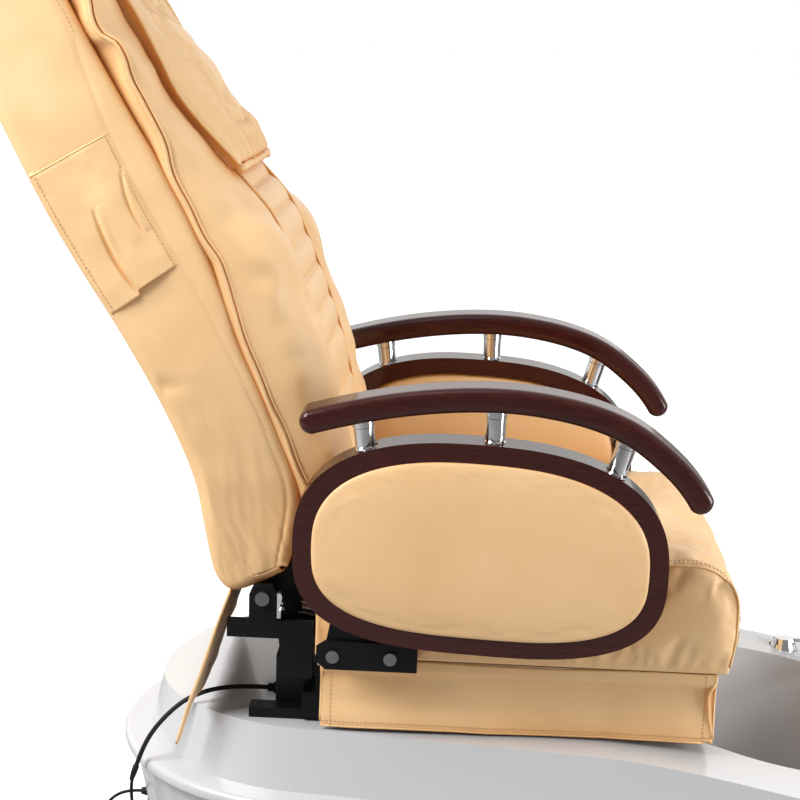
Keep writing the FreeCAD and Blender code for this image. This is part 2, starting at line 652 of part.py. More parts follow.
def build_back():
    parts = [cut(rod(15, 484, (-242, 0, 0), "x"), rod("hinge_bore_r", 600, (-300, 0, 0), "x"))]
    for side in (-1, 1):
        x = sorted((side * 192, side * 218))
        parts += [block(x, (-50, -20), (-8, 930)), block(x, (-50, 12), (-12, 40))]
    parts += [block((-192, 192), (-76, -22), (z, z + 20)) for z in (100, 820)]
    parts.append(block((-192, 192), (-48, -22), (905, 930)))
    swing = FreeCAD.Rotation(V(1, 0, 0), SIZE["back_tilt"] + SIZE["crank_angle"] + 90)
    for x in (-24, 16):
        ear = block((0, 8), (0, 28), (0, "crank_radius + 14"))
        ear.Placement = FreeCAD.Placement(
            swing.multVec(V(x, -14, -(SIZE["crank_radius"] + 14))), swing)
        parts.append(ear)
    pin_y, pin_z = crank_local()
    bores = [rod(5.06, 100, (-50, pin_y, pin_z), "x"),
             rod("hinge_bore_r", 600, (-300, 0, 0), "x"),
             rod("journal_bore_r", 760, (0, -60, 95))]
    frame = cut(fuse(*parts), *bores)
    node(lean_back(frame), "back_frame")
    pin = fuse(rod(5, 48, (-24, pin_y, pin_z), "x"), rod(8, 4, (24, pin_y, pin_z), "x"),
               rod(8, 4, (-28, pin_y, pin_z), "x"))
    node(lean_back(pin), "crank_pin")

    outer = back_profile(SHELL_REAR + SHELL_FRONT, "-back_half", "back_half")
    wall = SIZE["back_wall"]
    inner_rear = [(up, front + wall) for up, front in SHELL_REAR[1:-2]]
    cavity = [(-30, -40), (40, -40)] + inner_rear + [(985, 20), (1004, 60), (1000, 160),
                                                    (-30, 160)]
    inner = back_profile(cavity, "-back_half + back_wall", "back_half - back_wall")
    node(lean_back(cut(outer, inner)), "back_shell")

    pad_line = [(60, 156), (60, 172), (110, 187), (160, 198), (205, 209), (250, 219),
                (340, 232), (440, 239), (487, 240), (520, 231), (550, 223), (600, 208),
                (650, 192), (720, 181), (850, 176), (940, 162), (1010, 144), (1014, 124),
                (940, 124), (925, 156)]
    pad = [back_profile(pad_line, -243, 243)]
    for side in (-1, 1):
        pad.append(back_profile([(130, 121), (130, 180), (930, 180), (930, 121)],
                                *sorted((side * 214, side * 247))))
    # the wings' slanted faces, as (distance across, distance forward)
    wings = [(-247, 100), (-247, 156), (-232, 205), (-205, 236), (-120, 245), (120, 245),
             (205, 236), (232, 205), (247, 156), (247, 100)]
    corners = [V(x, -front, 40) for x, front in wings + wings[:1]]
    slanted = shaped(Part.Face(Part.makePolygon(corners)).extrude(V(0, 0, 1000)), "Wings")
    node(lean_back(common(fuse(*pad), slanted)), "back_pad")
    pillow = back_profile([(566, 222), (566, 244), (590, 250), (620, 251), (658, 242),
                           (696, 233), (734, 223), (777, 210), (817, 196), (853, 185),
                           (930, 169), (930, 164.5), (850, 176.6), (720, 181.6), (650, 192.6),
                           (600, 208.6), (575, 216.5)], -150, 150)
    node(lean_back(pillow), "head_pillow")
    pocket = back_profile([(466, -12), (482, 112), (694, 104), (689, -26)], -254.5, -250)
    node(lean_back(pocket), "side_pocket")

    guides = [rod("guide_r", 700, (x, "-guide_v", 120)) for x in ("-guide_x", "guide_x")]
    for guide in guides:
        guide.setExpression("Placement.Base.y", "-Sizes.guide_v")
    node(lean_back(gather(*guides)), "massage_guides")
    screw = fuse(rod("screw_r", 699.4, (0, -60, 120.3)), rod("journal_r", 734, (0, -60, 104)))
    node(lean_back(screw), "massage_screw")
    node(lean_back(cut(block((-34, 34), (-88, -28), (840, 902)),
                       rod("journal_bore_r", 20, (0, -60, 835)))), "massage_motor")
    carriage = fuse(block((-150, 150), (-74, -38), (420, 520)),
                    *[block((x, x + 14), (-130, -70), (450, 490)) for x in (-62, 48)])
    carriage = cut(carriage, *[rod("guide_bore_r", 200, (x, -60, 380)) for x in (-120, 120)],
                   rod("screw_bore_r", 200, (0, -60, 380)),
                   rod("journal_bore_r", 200, (-100, -116, 470), "x"))
    node(lean_back(carriage), "massage_carriage")
    rollers = [rod("journal_r", 240, (-120, -116, 470), "x")]
    rollers += [rod(36, 24, (x, -113, 470), "x") for x in (-112, 88)]
    node(lean_back(fuse(*rollers)), "kneading_rollers")


def crank_local():
    """The crank pin's centre in the back's own upright frame."""
    angle = math.radians(SIZE["crank_angle"])
    y = -SIZE["crank_radius"] * math.cos(angle)
    z = SIZE["crank_radius"] * math.sin(angle)
    turn = FreeCAD.Rotation(V(1, 0, 0), SIZE["back_tilt"])
    spot = turn.multVec(V(0, y, z))
    return spot.y, spot.z


# ---------------------------------------------------------------- armrests

def oval(member, x):
    """The armrest's rounded-loaf outline, shrunk all round by member, at one x."""
    half = SIZE["oval_half"] - member
    points = []
    for i in range(40):
        turn = 2 * math.pi * i / 40
        rise = (SIZE["oval_up"] if math.sin(turn) > 0 else SIZE["oval_down"]) - member
        power = 2 / 2.5 if math.sin(turn) > 0 else 2 / 2.95
        y = math.copysign(abs(math.cos(turn)) ** power, math.cos(turn)) * half
        z = math.copysign(abs(math.sin(turn)) ** power, math.sin(turn)) * rise
        points.append(V(x, SIZE["oval_y"] + y, SIZE["oval_z"] + z + 0.04 * y))
    curve = Part.BSplineCurve()
    curve.interpolate(points, PeriodicFlag=True)
    return Part.Wire([curve.toShape()])


# where the posts stand: (y, height of their feet, lean in degrees, height of the post)
POSTS = [(211, 789, -7.3, 48), (32, 805, 0, 53), (-138, 766, 16, 58)]
# the handrail's middle line as (y, z), rear end first
RAIL_LINE = [(290, 832), (243, 845), (190, 857), (110, 869), (48, 873), (-13, 871), (-68, 863),
             (-123, 848), (-165, 828), (-213, 791), (-244, 759), (-258, 738)]


def build_armrests():
    inner_x, outer_x = SIZE["arm_inner_x"], SIZE["arm_outer_x"]
    ring = Part.Face(oval(0, -outer_x)).extrude(V(outer_x - inner_x, 0, 0))
    hole = Part.Face(oval(SIZE["oval_member"], -outer_x - 5)).extrude(V(80, 0, 0))
    frame = shaped(ring.cut(hole), "Ring")
    tongue_slot = block((-297, -290), (158, 264), (480, 556))
    posts = []
    sockets = []
    rail_seats = []
    for y, z, lean, high in POSTS:
        turn = FreeCAD.Rotation(V(1, 0, 0), lean)

        def stand(piece, lift):
            piece.Placement = FreeCAD.Placement(V(-300, y, z) + turn.multVec(V(0, 0, lift)), turn)
            return piece

        post = turned("post%d" % y, [(0, -14), (8, -14), (8, 2), (16, 2), (16, 5), (14.5, 8),
                                     (14.5, high - 14), (15.5, high - 13), (15.5, high),
                                     (8, high), (8, high + 8), (0, high + 8)])
        posts.append(stand(post, 0))
        sockets += [stand(rod("post_spigot_r + 0.05", 80, (0, 0, 0)), -14.4),
                    stand(rod(16.2, 30, (0, 0, 0)), 1.9)]
        rail_seats += [stand(rod("post_spigot_r + 0.05", 12, (0, 0, 0)), high - 2),
                       stand(rod(15.7, 20, (0, 0, 0)), high - 19.9)]
    frame = cut(frame, tongue_slot, *sockets)
    panel = Part.Face(oval(SIZE["oval_member"] + 0.4, -324)).extrude(V(44, 0, 0))
    panel = cut(shaped(panel, "Panel"), block((-297, -290), (158, 264), (480, 556)))

    top = [V(0, y, z) for y, z in RAIL_LINE]
    curve = Part.BSplineCurve()
    curve.interpolate(top)
    half = SIZE["arm_rail_thick"] / 2
    steps = 14
    above = []
    below = []
    for i in range(steps + 1):
        at = curve.FirstParameter + (curve.LastParameter - curve.FirstParameter) * i / steps
        spot = curve.value(at)
        slope = V(*curve.tangent(at)[0])
        normal = V(0, -slope.z, slope.y).normalize()
        if normal.z < 0:
            normal = normal * -1
        above.append(spot + normal * half)
        below.append(spot - normal * half)
    over = Part.BSplineCurve()
    over.interpolate(above)
    under = Part.BSplineCurve()
    under.interpolate(below)
    ends = []
    for near, far, way in ((above[0], below[0], 1), (above[-1], below[-1], -1)):
        out = (curve.value(curve.FirstParameter) - curve.value(curve.FirstParameter + 0.02)
               if way > 0 else
               curve.value(curve.LastParameter) - curve.value(curve.LastParameter - 0.02))
        tip = (near + far) * 0.5 + out.normalize() * half * 0.8
        ends.append(Part.Arc(near, tip, far).toShape())
    loop = Part.sortEdges([over.toShape(), ends[1], under.toShape(), ends[0]])[0]
    rail = Part.Face(Part.Wire(loop))
    rail.translate(V(-334, 0, 0))
    rail = rail.extrude(V(SIZE["arm_rail_wide"], 0, 0))
    rail = rail.makeFillet(12, [edge for edge in rail.Edges if edge.BoundBox.XLength < 0.01])
    rail = cut(shaped(rail, "Rail"), *rail_seats)

    tongue = side_profile([(160, 474), (240, 471), (262, 471), (266, 480), (262, 500),
                           (252, 552), (160, 548)], -296.5, -290.5)
    tongue = cut(tongue, rod("arm_bore_r", 30, (-310, "arm_pivot_y", "arm_pivot_z"), "x"),
                 rod(5.6, 30, (-310, "arm_stud_y", "arm_pivot_z"), "x"),
                 block((-310, -280), ("arm_stud_y - 5.6", "arm_stud_y + 5.6"), (465, 483)))
    pieces = [("frame", frame), ("panel", panel), ("posts", gather(*posts)), ("rail", rail),
              ("tongue", tongue)]
    for name, piece in pieces:
        node(piece, "arm_%s_right" % name)
        node(mirrored(piece), "arm_%s_left" % name)


def write_parts():
    DOC.recompute()
    failed = [thing.Label for thing in DOC.Objects
              if "Invalid" in thing.State or "Error" in thing.State]
    failed += [piece.Label for piece in NODES if piece.Shape.isNull()
               or not piece.Shape.isValid() or not piece.Shape.Solids]
    if failed:
        raise RuntimeError("failed: " + ", ".join(failed))
    os.makedirs("parts", exist_ok=True)
    for piece in NODES:
        piece.Shape.exportStep("parts/%s.step" % piece.Label)
        box = piece.Shape.BoundBox
        print("%-20s %2d solid, x %7.1f %7.1f  y %7.1f %7.1f  z %7.1f %7.1f" % (
            piece.Label, len(piece.Shape.Solids), box.XMin, box.XMax, box.YMin, box.YMax,
            box.ZMin, box.ZMax))
    print(len(NODES), "nodes")


build_base()
build_tub_fittings()
build_seat_drive()
build_lead()
build_seat()
build_recline_drive()
build_back()
build_armrests()
write_parts()
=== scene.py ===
import json
import math

import bpy
import numpy as np
from mathutils import Matrix, Vector


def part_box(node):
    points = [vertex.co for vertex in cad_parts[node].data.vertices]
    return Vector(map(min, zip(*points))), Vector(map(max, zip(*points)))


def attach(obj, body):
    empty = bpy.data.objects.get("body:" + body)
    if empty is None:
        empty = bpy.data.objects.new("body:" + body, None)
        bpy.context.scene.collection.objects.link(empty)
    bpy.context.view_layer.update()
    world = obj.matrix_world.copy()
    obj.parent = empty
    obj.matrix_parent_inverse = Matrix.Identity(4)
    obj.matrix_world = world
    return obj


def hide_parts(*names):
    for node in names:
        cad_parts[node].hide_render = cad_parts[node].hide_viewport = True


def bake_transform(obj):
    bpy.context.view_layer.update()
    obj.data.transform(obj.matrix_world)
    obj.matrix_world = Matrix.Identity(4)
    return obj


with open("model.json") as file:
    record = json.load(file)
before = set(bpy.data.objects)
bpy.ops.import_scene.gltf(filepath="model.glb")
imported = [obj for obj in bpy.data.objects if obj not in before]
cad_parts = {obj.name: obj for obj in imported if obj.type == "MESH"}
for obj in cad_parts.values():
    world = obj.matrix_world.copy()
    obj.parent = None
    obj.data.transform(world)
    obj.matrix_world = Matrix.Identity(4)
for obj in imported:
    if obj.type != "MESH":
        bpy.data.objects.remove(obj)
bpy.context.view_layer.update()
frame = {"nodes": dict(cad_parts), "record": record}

NODES = frame["nodes"]
SCENE = bpy.context.scene


# ---------------------------------------------------------------- materials

class Paint:
    """A node material built step by step around one Principled shader."""

    def __init__(self, name, roughness=0.5, **sockets):
        self.material = bpy.data.materials.new(name)
        self.material.use_nodes = True
        self.tree = self.material.node_tree
        self.shader = self.tree.nodes["Principled BSDF"]
        self.shader.inputs["Roughness"].default_value = roughness
        for key, value in sockets.items():
            self.shader.inputs[key.replace("_", " ")].default_value = value
        self.place = self.add("ShaderNodeTexCoord").outputs["Object"]
        self.normal = None

    def add(self, kind, **inputs):
        made = self.tree.nodes.new(kind)
        for key, value in inputs.items():
            self.feed(made.inputs[key.replace("_", " ")], value)
        return made

    def feed(self, socket, value):
        if isinstance(value, bpy.types.NodeSocket):
            self.tree.links.new(value, socket)
        else:
            socket.default_value = value

    def stretched(self, scale):
        return self.add("ShaderNodeMapping", Vector=self.place, Scale=scale).outputs["Vector"]

    def noise(self, scale, detail=3.0, roughness=0.55, distortion=0.0, at=None):
        made = self.add("ShaderNodeTexNoise", Vector=at or self.place, Scale=scale, Detail=detail,
                        Roughness=roughness, Distortion=distortion)
        return made.outputs["Fac"]

    def cells(self, scale):
        made = self.add("ShaderNodeTexVoronoi", Vector=self.place, Scale=scale)
        made.feature = "DISTANCE_TO_EDGE"
        return made.outputs["Distance"]

    def spread(self, value, low, high, to_low, to_high):
        made = self.add("ShaderNodeMapRange", Value=value)
        for key, number in zip(("From Min", "From Max", "To Min", "To Max"),
                               (low, high, to_low, to_high)):
            made.inputs[key].default_value = number
        return made.outputs["Result"]

    def colours(self, value, *stops):
        made = self.add("ShaderNodeValToRGB", Fac=value)
        ramp = made.color_ramp
        while len(ramp.elements) < len(stops):
            ramp.elements.new(0.5)
        for element, (spot, colour) in zip(ramp.elements, stops):
            element.position = spot
            element.color = (*colour, 1)
        return made.outputs["Color"]

    def mixed(self, factor, first, second, blend="MIX"):
        made = self.tree.nodes.new("ShaderNodeMix")
        made.data_type = "RGBA"
        made.blend_type = blend
        self.feed(made.inputs[0], factor)
        self.feed(made.inputs[6], first)
        self.feed(made.inputs[7], second)
        return made.outputs[2]

    def bump(self, height, depth, strength=1.0):
        made = self.add("ShaderNodeBump", Height=height)
        made.inputs["Distance"].default_value = depth
        made.inputs["Strength"].default_value = strength
        if self.normal is not None:
            self.feed(made.inputs["Normal"], self.normal)
        self.normal = made.outputs["Normal"]

    def done(self, colour=None, roughness=None):
        if colour is not None:
            self.feed(self.shader.inputs["Base Color"], colour)
        if roughness is not None:
            self.feed(self.shader.inputs["Roughness"], roughness)
        if self.normal is not None:
            self.feed(self.shader.inputs["Normal"], self.normal)
        return self.material


def leather(name, pale, middle, deep):
    """Soft pebbled hide: fine grain, pores, a mottled dye, and painted shade, a saturated orange
    painted into its creases and gaps.
    """
    paint = Paint(name, 0.36, Specular_IOR_Level=0.5, Coat_Weight=0.06, Coat_Roughness=0.26)
    cloud = paint.noise(5.5, 4, 0.6)
    colour = paint.colours(cloud, (0.3, deep), (0.52, middle), (0.75, pale))
    # painted shade: where ambient occlusion finds creases and gaps, the colour turns a saturated
    # orange that stands in for light bounced inside them
    painted_crease_shade = paint.tree.nodes.new("ShaderNodeAmbientOcclusion")
    painted_crease_shade.samples = 5
    painted_crease_shade.inputs["Distance"].default_value = 0.075
    colour = paint.mixed(paint.spread(painted_crease_shade.outputs["AO"], 0.25, 0.95, 1.0, 0.0), colour,
                         (0.74, 0.34, 0.095, 1))
    grain = paint.cells(760)
    pores = paint.noise(1500, 2)
    colour = paint.mixed(paint.spread(grain, 0.0, 0.25, 0.10, 0.0), colour, (*deep, 1),
                         "MULTIPLY")
    paint.bump(paint.spread(grain, 0.0, 0.35, 0.0, 1.0), 0.00022, 0.55)
    paint.bump(pores, 0.00012, 0.35)
    paint.bump(paint.noise(70, 5, 0.65, 0.6), 0.0008, 0.30)
    rough = paint.spread(paint.noise(22, 5, 0.6), 0.3, 0.7, 0.38, 0.50)
    return paint.done(colour, rough)


def mahogany():
    paint = Paint("mahogany_lacquer", 0.30, Coat_Weight=0.55, Coat_Roughness=0.07,
                  Specular_IOR_Level=0.08)
    along = paint.stretched((60, 5.5, 48))
    streak = paint.noise(3.2, 8, 0.62, 0.9, along)
    fine = paint.noise(11, 6, 0.7, 0.3, paint.stretched((95, 9, 95)))
    colour = paint.colours(streak, (0.25, (0.026, 0.0042, 0.0032)), (0.50, (0.040, 0.0068, 0.0050)),
                           (0.75, (0.058, 0.0105, 0.0072)))
    colour = paint.mixed(paint.spread(fine, 0.4, 0.7, 0.0, 0.35), colour,
                         (0.026, 0.005, 0.004, 1))
    paint.bump(fine, 0.00006, 0.15)
    rough = paint.spread(streak, 0.3, 0.7, 0.24, 0.36)
    return paint.done(colour, rough)


def metal(name, dark, light, low, high, brushed=None, scratch=0.15):
    paint = Paint(name, low, Metallic=1.0)
    at = paint.stretched(brushed) if brushed else paint.place
    smear = paint.noise(26, 5, 0.6, 0.4, at)
    colour = paint.colours(smear, (0.3, dark), (0.7, light))
    rough = paint.spread(paint.noise(60, 5, 0.7, 0.0, at), 0.3, 0.7, low, high)
    paint.bump(paint.noise(240, 4, 0.7, 0.0, at), 0.00008, scratch)
    return paint.done(colour, rough)


def moulded(name, dark, light, low, high, grain=900, depth=0.00012, gloss=0.5):
    """Plastic, rubber, paint, raw hide or thread: a faint change of tone and a grain bump."""
    paint = Paint(name, low, Specular_IOR_Level=gloss)
    colour = paint.colours(paint.noise(7, 5, 0.6), (0.3, dark), (0.7, light))
    rough = paint.spread(paint.noise(35, 5, 0.65), 0.3, 0.7, low, high)
    paint.bump(paint.noise(grain, 3), depth, 0.4)
    return paint.done(colour, rough)


def gelcoat():
    """Glossy white gel-coat with a barely uneven tone and long, soft ripples."""
    paint = Paint("white_gelcoat", 0.26, Coat_Weight=0.5, Coat_Roughness=0.08)
    colour = paint.colours(paint.noise(1.6, 2), (0.3, (0.515, 0.518, 0.532)),
                           (0.7, (0.540, 0.543, 0.558)))
    paint.bump(paint.noise(3.5, 1), 0.0012, 0.10)
    return paint.done(colour, paint.spread(paint.noise(2.5, 2), 0.3, 0.7, 0.24, 0.28))


def wood_ply():
    paint = Paint("birch_ply", 0.6)
    veins = paint.noise(4, 7, 0.6, 1.2, paint.stretched((60, 4, 60)))
    colour = paint.colours(veins, (0.3, (0.36, 0.24, 0.13)), (0.7, (0.60, 0.45, 0.28)))
    paint.bump(veins, 0.0004, 0.4)
    return paint.done(colour, paint.spread(veins, 0.3, 0.7, 0.5, 0.7))


def lens():
    paint = Paint("lamp_lens", 0.12, Transmission_Weight=0.55, IOR=1.49)
    rings = paint.noise(90, 3)
    colour = paint.colours(rings, (0.3, (0.72, 0.82, 0.88)), (0.7, (0.88, 0.95, 0.97)))
    paint.bump(rings, 0.0004, 0.5)
    return paint.done(colour, paint.spread(rings, 0.3, 0.7, 0.08, 0.2))


TAN = leather("tan_hide", (0.84, 0.570, 0.300), (0.81, 0.535, 0.272), (0.775, 0.500, 0.245))
LOOKS = {
    "tan_leather": TAN,
    "mahogany": mahogany(),
    "chrome": metal("polished_chrome", (0.62, 0.62, 0.64), (0.82, 0.82, 0.84), 0.05, 0.13),
    "bare_steel": metal("ground_steel", (0.40, 0.41, 0.43), (0.58, 0.59, 0.60), 0.22, 0.38,
                        (1, 14, 14), 0.5),
    "zinc": metal("zinc_plate", (0.16, 0.16, 0.17), (0.30, 0.30, 0.31), 0.25, 0.42),
    "brass": metal("brass", (0.55, 0.38, 0.14), (0.75, 0.56, 0.25), 0.18, 0.32),
    "black_steel": moulded("black_powder_coat", (0.004, 0.004, 0.0045), (0.007, 0.007, 0.008),
                           0.34, 0.48, 1400, 0.00010, gloss=0.16),
    "black_rubber": moulded("black_rubber", (0.008, 0.008, 0.009), (0.014, 0.014, 0.015),
                            0.55, 0.72, gloss=0.25),
    "black_plastic": moulded("black_plastic", (0.006, 0.006, 0.007), (0.011, 0.011, 0.012),
                             0.38, 0.52, 1100, gloss=0.25),
    "white_gelcoat": gelcoat(),
    "white_plastic": moulded("white_plastic", (0.66, 0.66, 0.65), (0.76, 0.76, 0.75), 0.35, 0.45),
    "grey_plastic": moulded("grey_plastic", (0.46, 0.47, 0.48), (0.58, 0.59, 0.60), 0.38, 0.5),
    "plywood": wood_ply(),
    "lens": lens(),
}
for part in frame["record"]["subparts"]:
    mesh = NODES[part["node"]].data
    mesh.materials.clear()
    mesh.materials.append(LOOKS[part["material_slot"]])


# ---------------------------------------------------------------- mesh tools

def noise3(place, size, seed, octaves=2):
    """Smooth noise at three coordinates, from about -1 to 1, with features of that size."""
    points = np.stack(np.broadcast_arrays(*place), -1).astype(float)
    shape = points.shape[:-1]
    flat = points.reshape(-1, 3)
    total = np.zeros(len(flat))
    for octave in range(octaves):
        spot = flat / size * 2 ** octave + 31.7 * (seed + octave)
        cell = np.floor(spot).astype(np.int64)
        part = spot - cell
        part = part * part * (3 - 2 * part)
        for corner in range(8):
            step = np.array([corner & 1, corner >> 1 & 1, corner >> 2 & 1])
            key = (cell + step) * np.array([73856093, 19349663, 83492791])
            key = np.bitwise_xor.reduce(key, axis=1) & 0xFFFFFFFF
            key = ((key ^ (key >> 15)) * 2246822519) & 0xFFFFFFFF
            key = ((key ^ (key >> 13)) * 3266489917) & 0xFFFFFFFF
            weight = np.prod(np.where(step == 1, part, 1 - part), axis=1)
            total += weight * (((key >> 8) & 0xFFFF) / 32767.5 - 1) / 2 ** octave
    return total.reshape(shape)


def smooth_line(keys, count, closed=False):
    """count points equally spaced on a Catmull-Rom curve through the keys."""
    keys = np.asarray(keys, float)
    if closed:
        padded = np.vstack([keys[-1], keys, keys[0], keys[1]])
    else:
        padded = np.vstack([2 * keys[0] - keys[1], keys, 2 * keys[-1] - keys[-2]])
    dense = []
    for a, b, c, d in zip(padded, padded[1:], padded[2:], padded[3:]):
        t = np.linspace(0, 1, 24, endpoint=False)[:, None]
        dense.append(0.5 * (2 * b + (c - a) * t + (2 * a - 5 * b + 4 * c - d) * t ** 2
                            + (3 * b - a - 3 * c + d) * t ** 3))
    dense = np.vstack(dense + [keys[:1] if closed else keys[-1:]])
    along = np.concatenate([[0], np.cumsum(np.linalg.norm(np.diff(dense, axis=0), axis=1))])
    at = np.linspace(0, along[-1], count, endpoint=not closed)
    return np.stack([np.interp(at, along, dense[:, k]) for k in range(dense.shape[1])], axis=1)


def curve_of(keys):
    """A smooth function through (input, output) keys."""
    dense = smooth_line(keys, 400)
    order = np.argsort(dense[:, 0])
    return lambda value: np.interp(value, dense[order, 0], dense[order, 1])


def step(value, low, high):
    part = np.clip((value - low) / (high - low), 0, 1)
    return part * part * (3 - 2 * part)


def bell(value, centre, width):
    return np.exp(-((value - centre) / width) ** 2)


def make(name, points, faces, look=TAN):
    """A smooth-shaded mesh object from points and faces."""
    mesh = bpy.data.meshes.new(name)
    mesh.from_pydata(np.asarray(points).reshape(-1, 3).tolist(), [], faces.tolist())
    mesh.validate()
    mesh.shade_smooth()
    mesh.materials.append(look)
    made = bpy.data.objects.new(name, mesh)
    SCENE.collection.objects.link(made)
    return made


def skin(name, points, look=TAN, wrap_columns=False, flip=False):
    """A surface over a grid of points, shaped (rows, columns, 3)."""
    rows, columns = points.shape[:2]
    index = np.arange(rows * columns).reshape(rows, columns)
    i, j = np.meshgrid(np.arange(rows - 1),
                       np.arange(columns if wrap_columns else columns - 1), indexing="ij")
    m = (j + 1) % columns
    faces = np.stack([index[i, j], index[i + 1, j], index[i + 1, m], index[i, m]], -1)
    faces = faces.reshape(-1, 4)
    return make(name, points, faces[:, ::-1] if flip else faces, look)


def rope(name, path, radius, look=TAN, sides=8):
    """A round tube along points, with closed ends."""
    path = np.asarray(path, float)
    ahead = np.gradient(path, axis=0)
    ahead /= np.linalg.norm(ahead, axis=1, keepdims=True)
    side = np.cross(ahead[0], (0.31, 0.22, 0.93))
    rings = []
    for spot, way in zip(path, ahead):
        side = side - way * side.dot(way)
        side /= np.linalg.norm(side)
        turn = np.linspace(0, 2 * np.pi, sides, endpoint=False)[:, None]
        rings.append(spot + radius * (np.cos(turn) * side + np.sin(turn) * np.cross(way, side)))
    rings = [np.repeat(path[:1], sides, 0)] + rings + [np.repeat(path[-1:], sides, 0)]
    return skin(name, np.array(rings), look, wrap_columns=True, flip=True)


def stitching(name, lines, look, length=0.0042, gap=0.0022, width=0.00055, lift=0.0003):
    """Raised thread stitches along lines of points, each with its surface's normals."""
    ring = np.linspace(0, 2 * np.pi, 6, endpoint=False)
    points, faces = [], []
    for path, outward in lines:
        path, outward = np.asarray(path, float), np.asarray(outward, float)
        along = np.concatenate([[0], np.cumsum(np.linalg.norm(np.diff(path, axis=0), axis=1))])
        for start in np.arange(0.001, along[-1] - length, length + gap):
            at = np.array([start, start + length * 0.2, start + length * 0.8, start + length])
            spots = np.stack([np.interp(at, along, path[:, k]) for k in range(3)], 1)
            up = np.array([np.interp(at[1], along, outward[:, k]) for k in range(3)])
            way = spots[-1] - spots[0]
            way /= np.linalg.norm(way)
            up = up - way * up.dot(way)
            up /= np.linalg.norm(up)
            side = np.cross(way, up)
            base = len(points)
            for spot, size, rise in zip(spots, (0.3, 1, 1, 0.3), (-1.2, 1, 1, -1.2)):
                for turn in ring:
                    points.append(spot + up * (lift * rise + width * size * math.sin(turn))
                                  + side * width * size * math.cos(turn))
            for i in range(3):
                for j in range(6):
                    a, b = base + i * 6 + j, base + i * 6 + (j + 1) % 6
                    faces.append((a, b, b + 6, a + 6))
    return make(name, np.array(points), np.array(faces), look)


def crate(counts):
    """The surface lattice of a box, as coordinates from -1 to 1 and its outward quads."""
    index, spots, faces = {}, [], []

    def corner(key):
        if key not in index:
            index[key] = len(spots)
            spots.append([2 * k / n - 1 for k, n in zip(key, counts)])
        return index[key]

    for axis in range(3):
        u, v = (axis + 1) % 3, (axis + 2) % 3
        for end in (0, counts[axis]):
            for i in range(counts[u]):
                for j in range(counts[v]):
                    quad = []
                    for di, dj in ((0, 0), (1, 0), (1, 1), (0, 1)):
                        key = [0, 0, 0]
                        key[axis], key[u], key[v] = end, i + di, j + dj
                        quad.append(corner(tuple(key)))
                    faces.append(quad if end else quad[::-1])
    return np.array(spots), np.array(faces)


def puff(made, pinned, pressure=2.5, grow=0.0, cap=0.012, bend=1.0, stiff=25.0, frames=16):
    """Runs the cloth solver on a piece, held where pinned is near 1, and keeps the result."""
    group = made.vertex_groups.new(name="held")
    for i, weight in enumerate(pinned):
        if weight > 0.01:
            group.add([i], float(weight), "REPLACE")
    rest = np.empty(len(made.data.vertices) * 3)
    made.data.vertices.foreach_get("co", rest)
    cloth = made.modifiers.new("cloth", "CLOTH")
    settings = cloth.settings
    settings.quality = 6
    settings.mass = 0.35
    settings.tension_stiffness = settings.compression_stiffness = stiff
    settings.shear_stiffness = stiff * 0.4
    settings.bending_stiffness = bend
    settings.tension_damping = settings.compression_damping = 8
    settings.air_damping = 2
    settings.use_pressure = pressure != 0
    settings.uniform_pressure_force = pressure
    settings.shrink_min = -grow
    settings.vertex_group_mass = "held"
    settings.effector_weights.gravity = 0
    cloth.point_cache.frame_end = frames + 2
    for tick in range(1, frames + 1):
        SCENE.frame_set(tick)
    shape = made.evaluated_get(bpy.context.evaluated_depsgraph_get()).to_mesh()
    moved = np.empty(len(shape.vertices) * 3)
    shape.vertices.foreach_get("co", moved)
    made.modifiers.remove(cloth)
    shift = (moved - rest).reshape(-1, 3)
    size = np.linalg.norm(shift, axis=1, keepdims=True)
    shift *= np.minimum(1, cap / np.maximum(size, 1e-9))
    made.data.vertices.foreach_set("co", (rest.reshape(-1, 3) + shift).ravel())
    made.data.update()
    SCENE.frame_set(1)


# ---------------------------------------------------------------- backrest

HINGE_Y, HINGE_Z, TILT = 0.358, 0.552, math.radians(27)
BACK_HALF, RIB_HALF, PILLOW_HALF = 0.250, 0.122, 0.150


def lean(x, up, front):
    """Points given across, up the back and forward of the recline hinge, in the row frame."""
    y = HINGE_Y - np.asarray(front) * math.cos(TILT) + np.asarray(up) * math.sin(TILT)
    z = HINGE_Z + np.asarray(front) * math.sin(TILT) + np.asarray(up) * math.cos(TILT)
    return np.stack(np.broadcast_arrays(x, y, z), -1)


SHELL_REAR = [(0.020, 0.040), (0.019, 0.000), (0.023, -0.036), (0.040, -0.049), (0.070, -0.049),
              (0.130, -0.033), (0.200, -0.015), (0.300, -0.009), (0.420, -0.014),
              (0.560, -0.027), (0.660, -0.032), (0.800, -0.031), (0.940, -0.026),
              (0.990, -0.016), (1.012, 0.006), (1.021, 0.040), (1.022, 0.070), (1.019, 0.094)]
SHELL_EDGE = [(0.022, 0.046), (0.060, 0.078), (0.120, 0.112), (0.200, 0.122), (0.270, 0.127),
              (0.350, 0.130), (0.420, 0.138), (0.514, 0.145), (0.617, 0.141), (0.700, 0.134),
              (0.781, 0.129), (0.879, 0.125), (0.960, 0.122), (1.012, 0.095)]
SEAM_FRONT = curve_of([(0.03, 0.036), (0.12, 0.096), (0.20, 0.109), (0.27, 0.114),
                       (0.40, 0.113), (0.50, 0.107), (0.60, 0.101), (0.697, 0.101),
                       (0.78, 0.108), (0.866, 0.115), (1.0, 0.090)])
REAR_LINE = curve_of([(0.02, -0.05), (0.07, -0.049), (0.13, -0.033), (0.20, -0.015),
                      (0.30, -0.009), (0.42, -0.014), (0.56, -0.027), (0.66, -0.032),
                      (0.80, -0.031), (0.94, -0.026), (1.01, 0.006)])
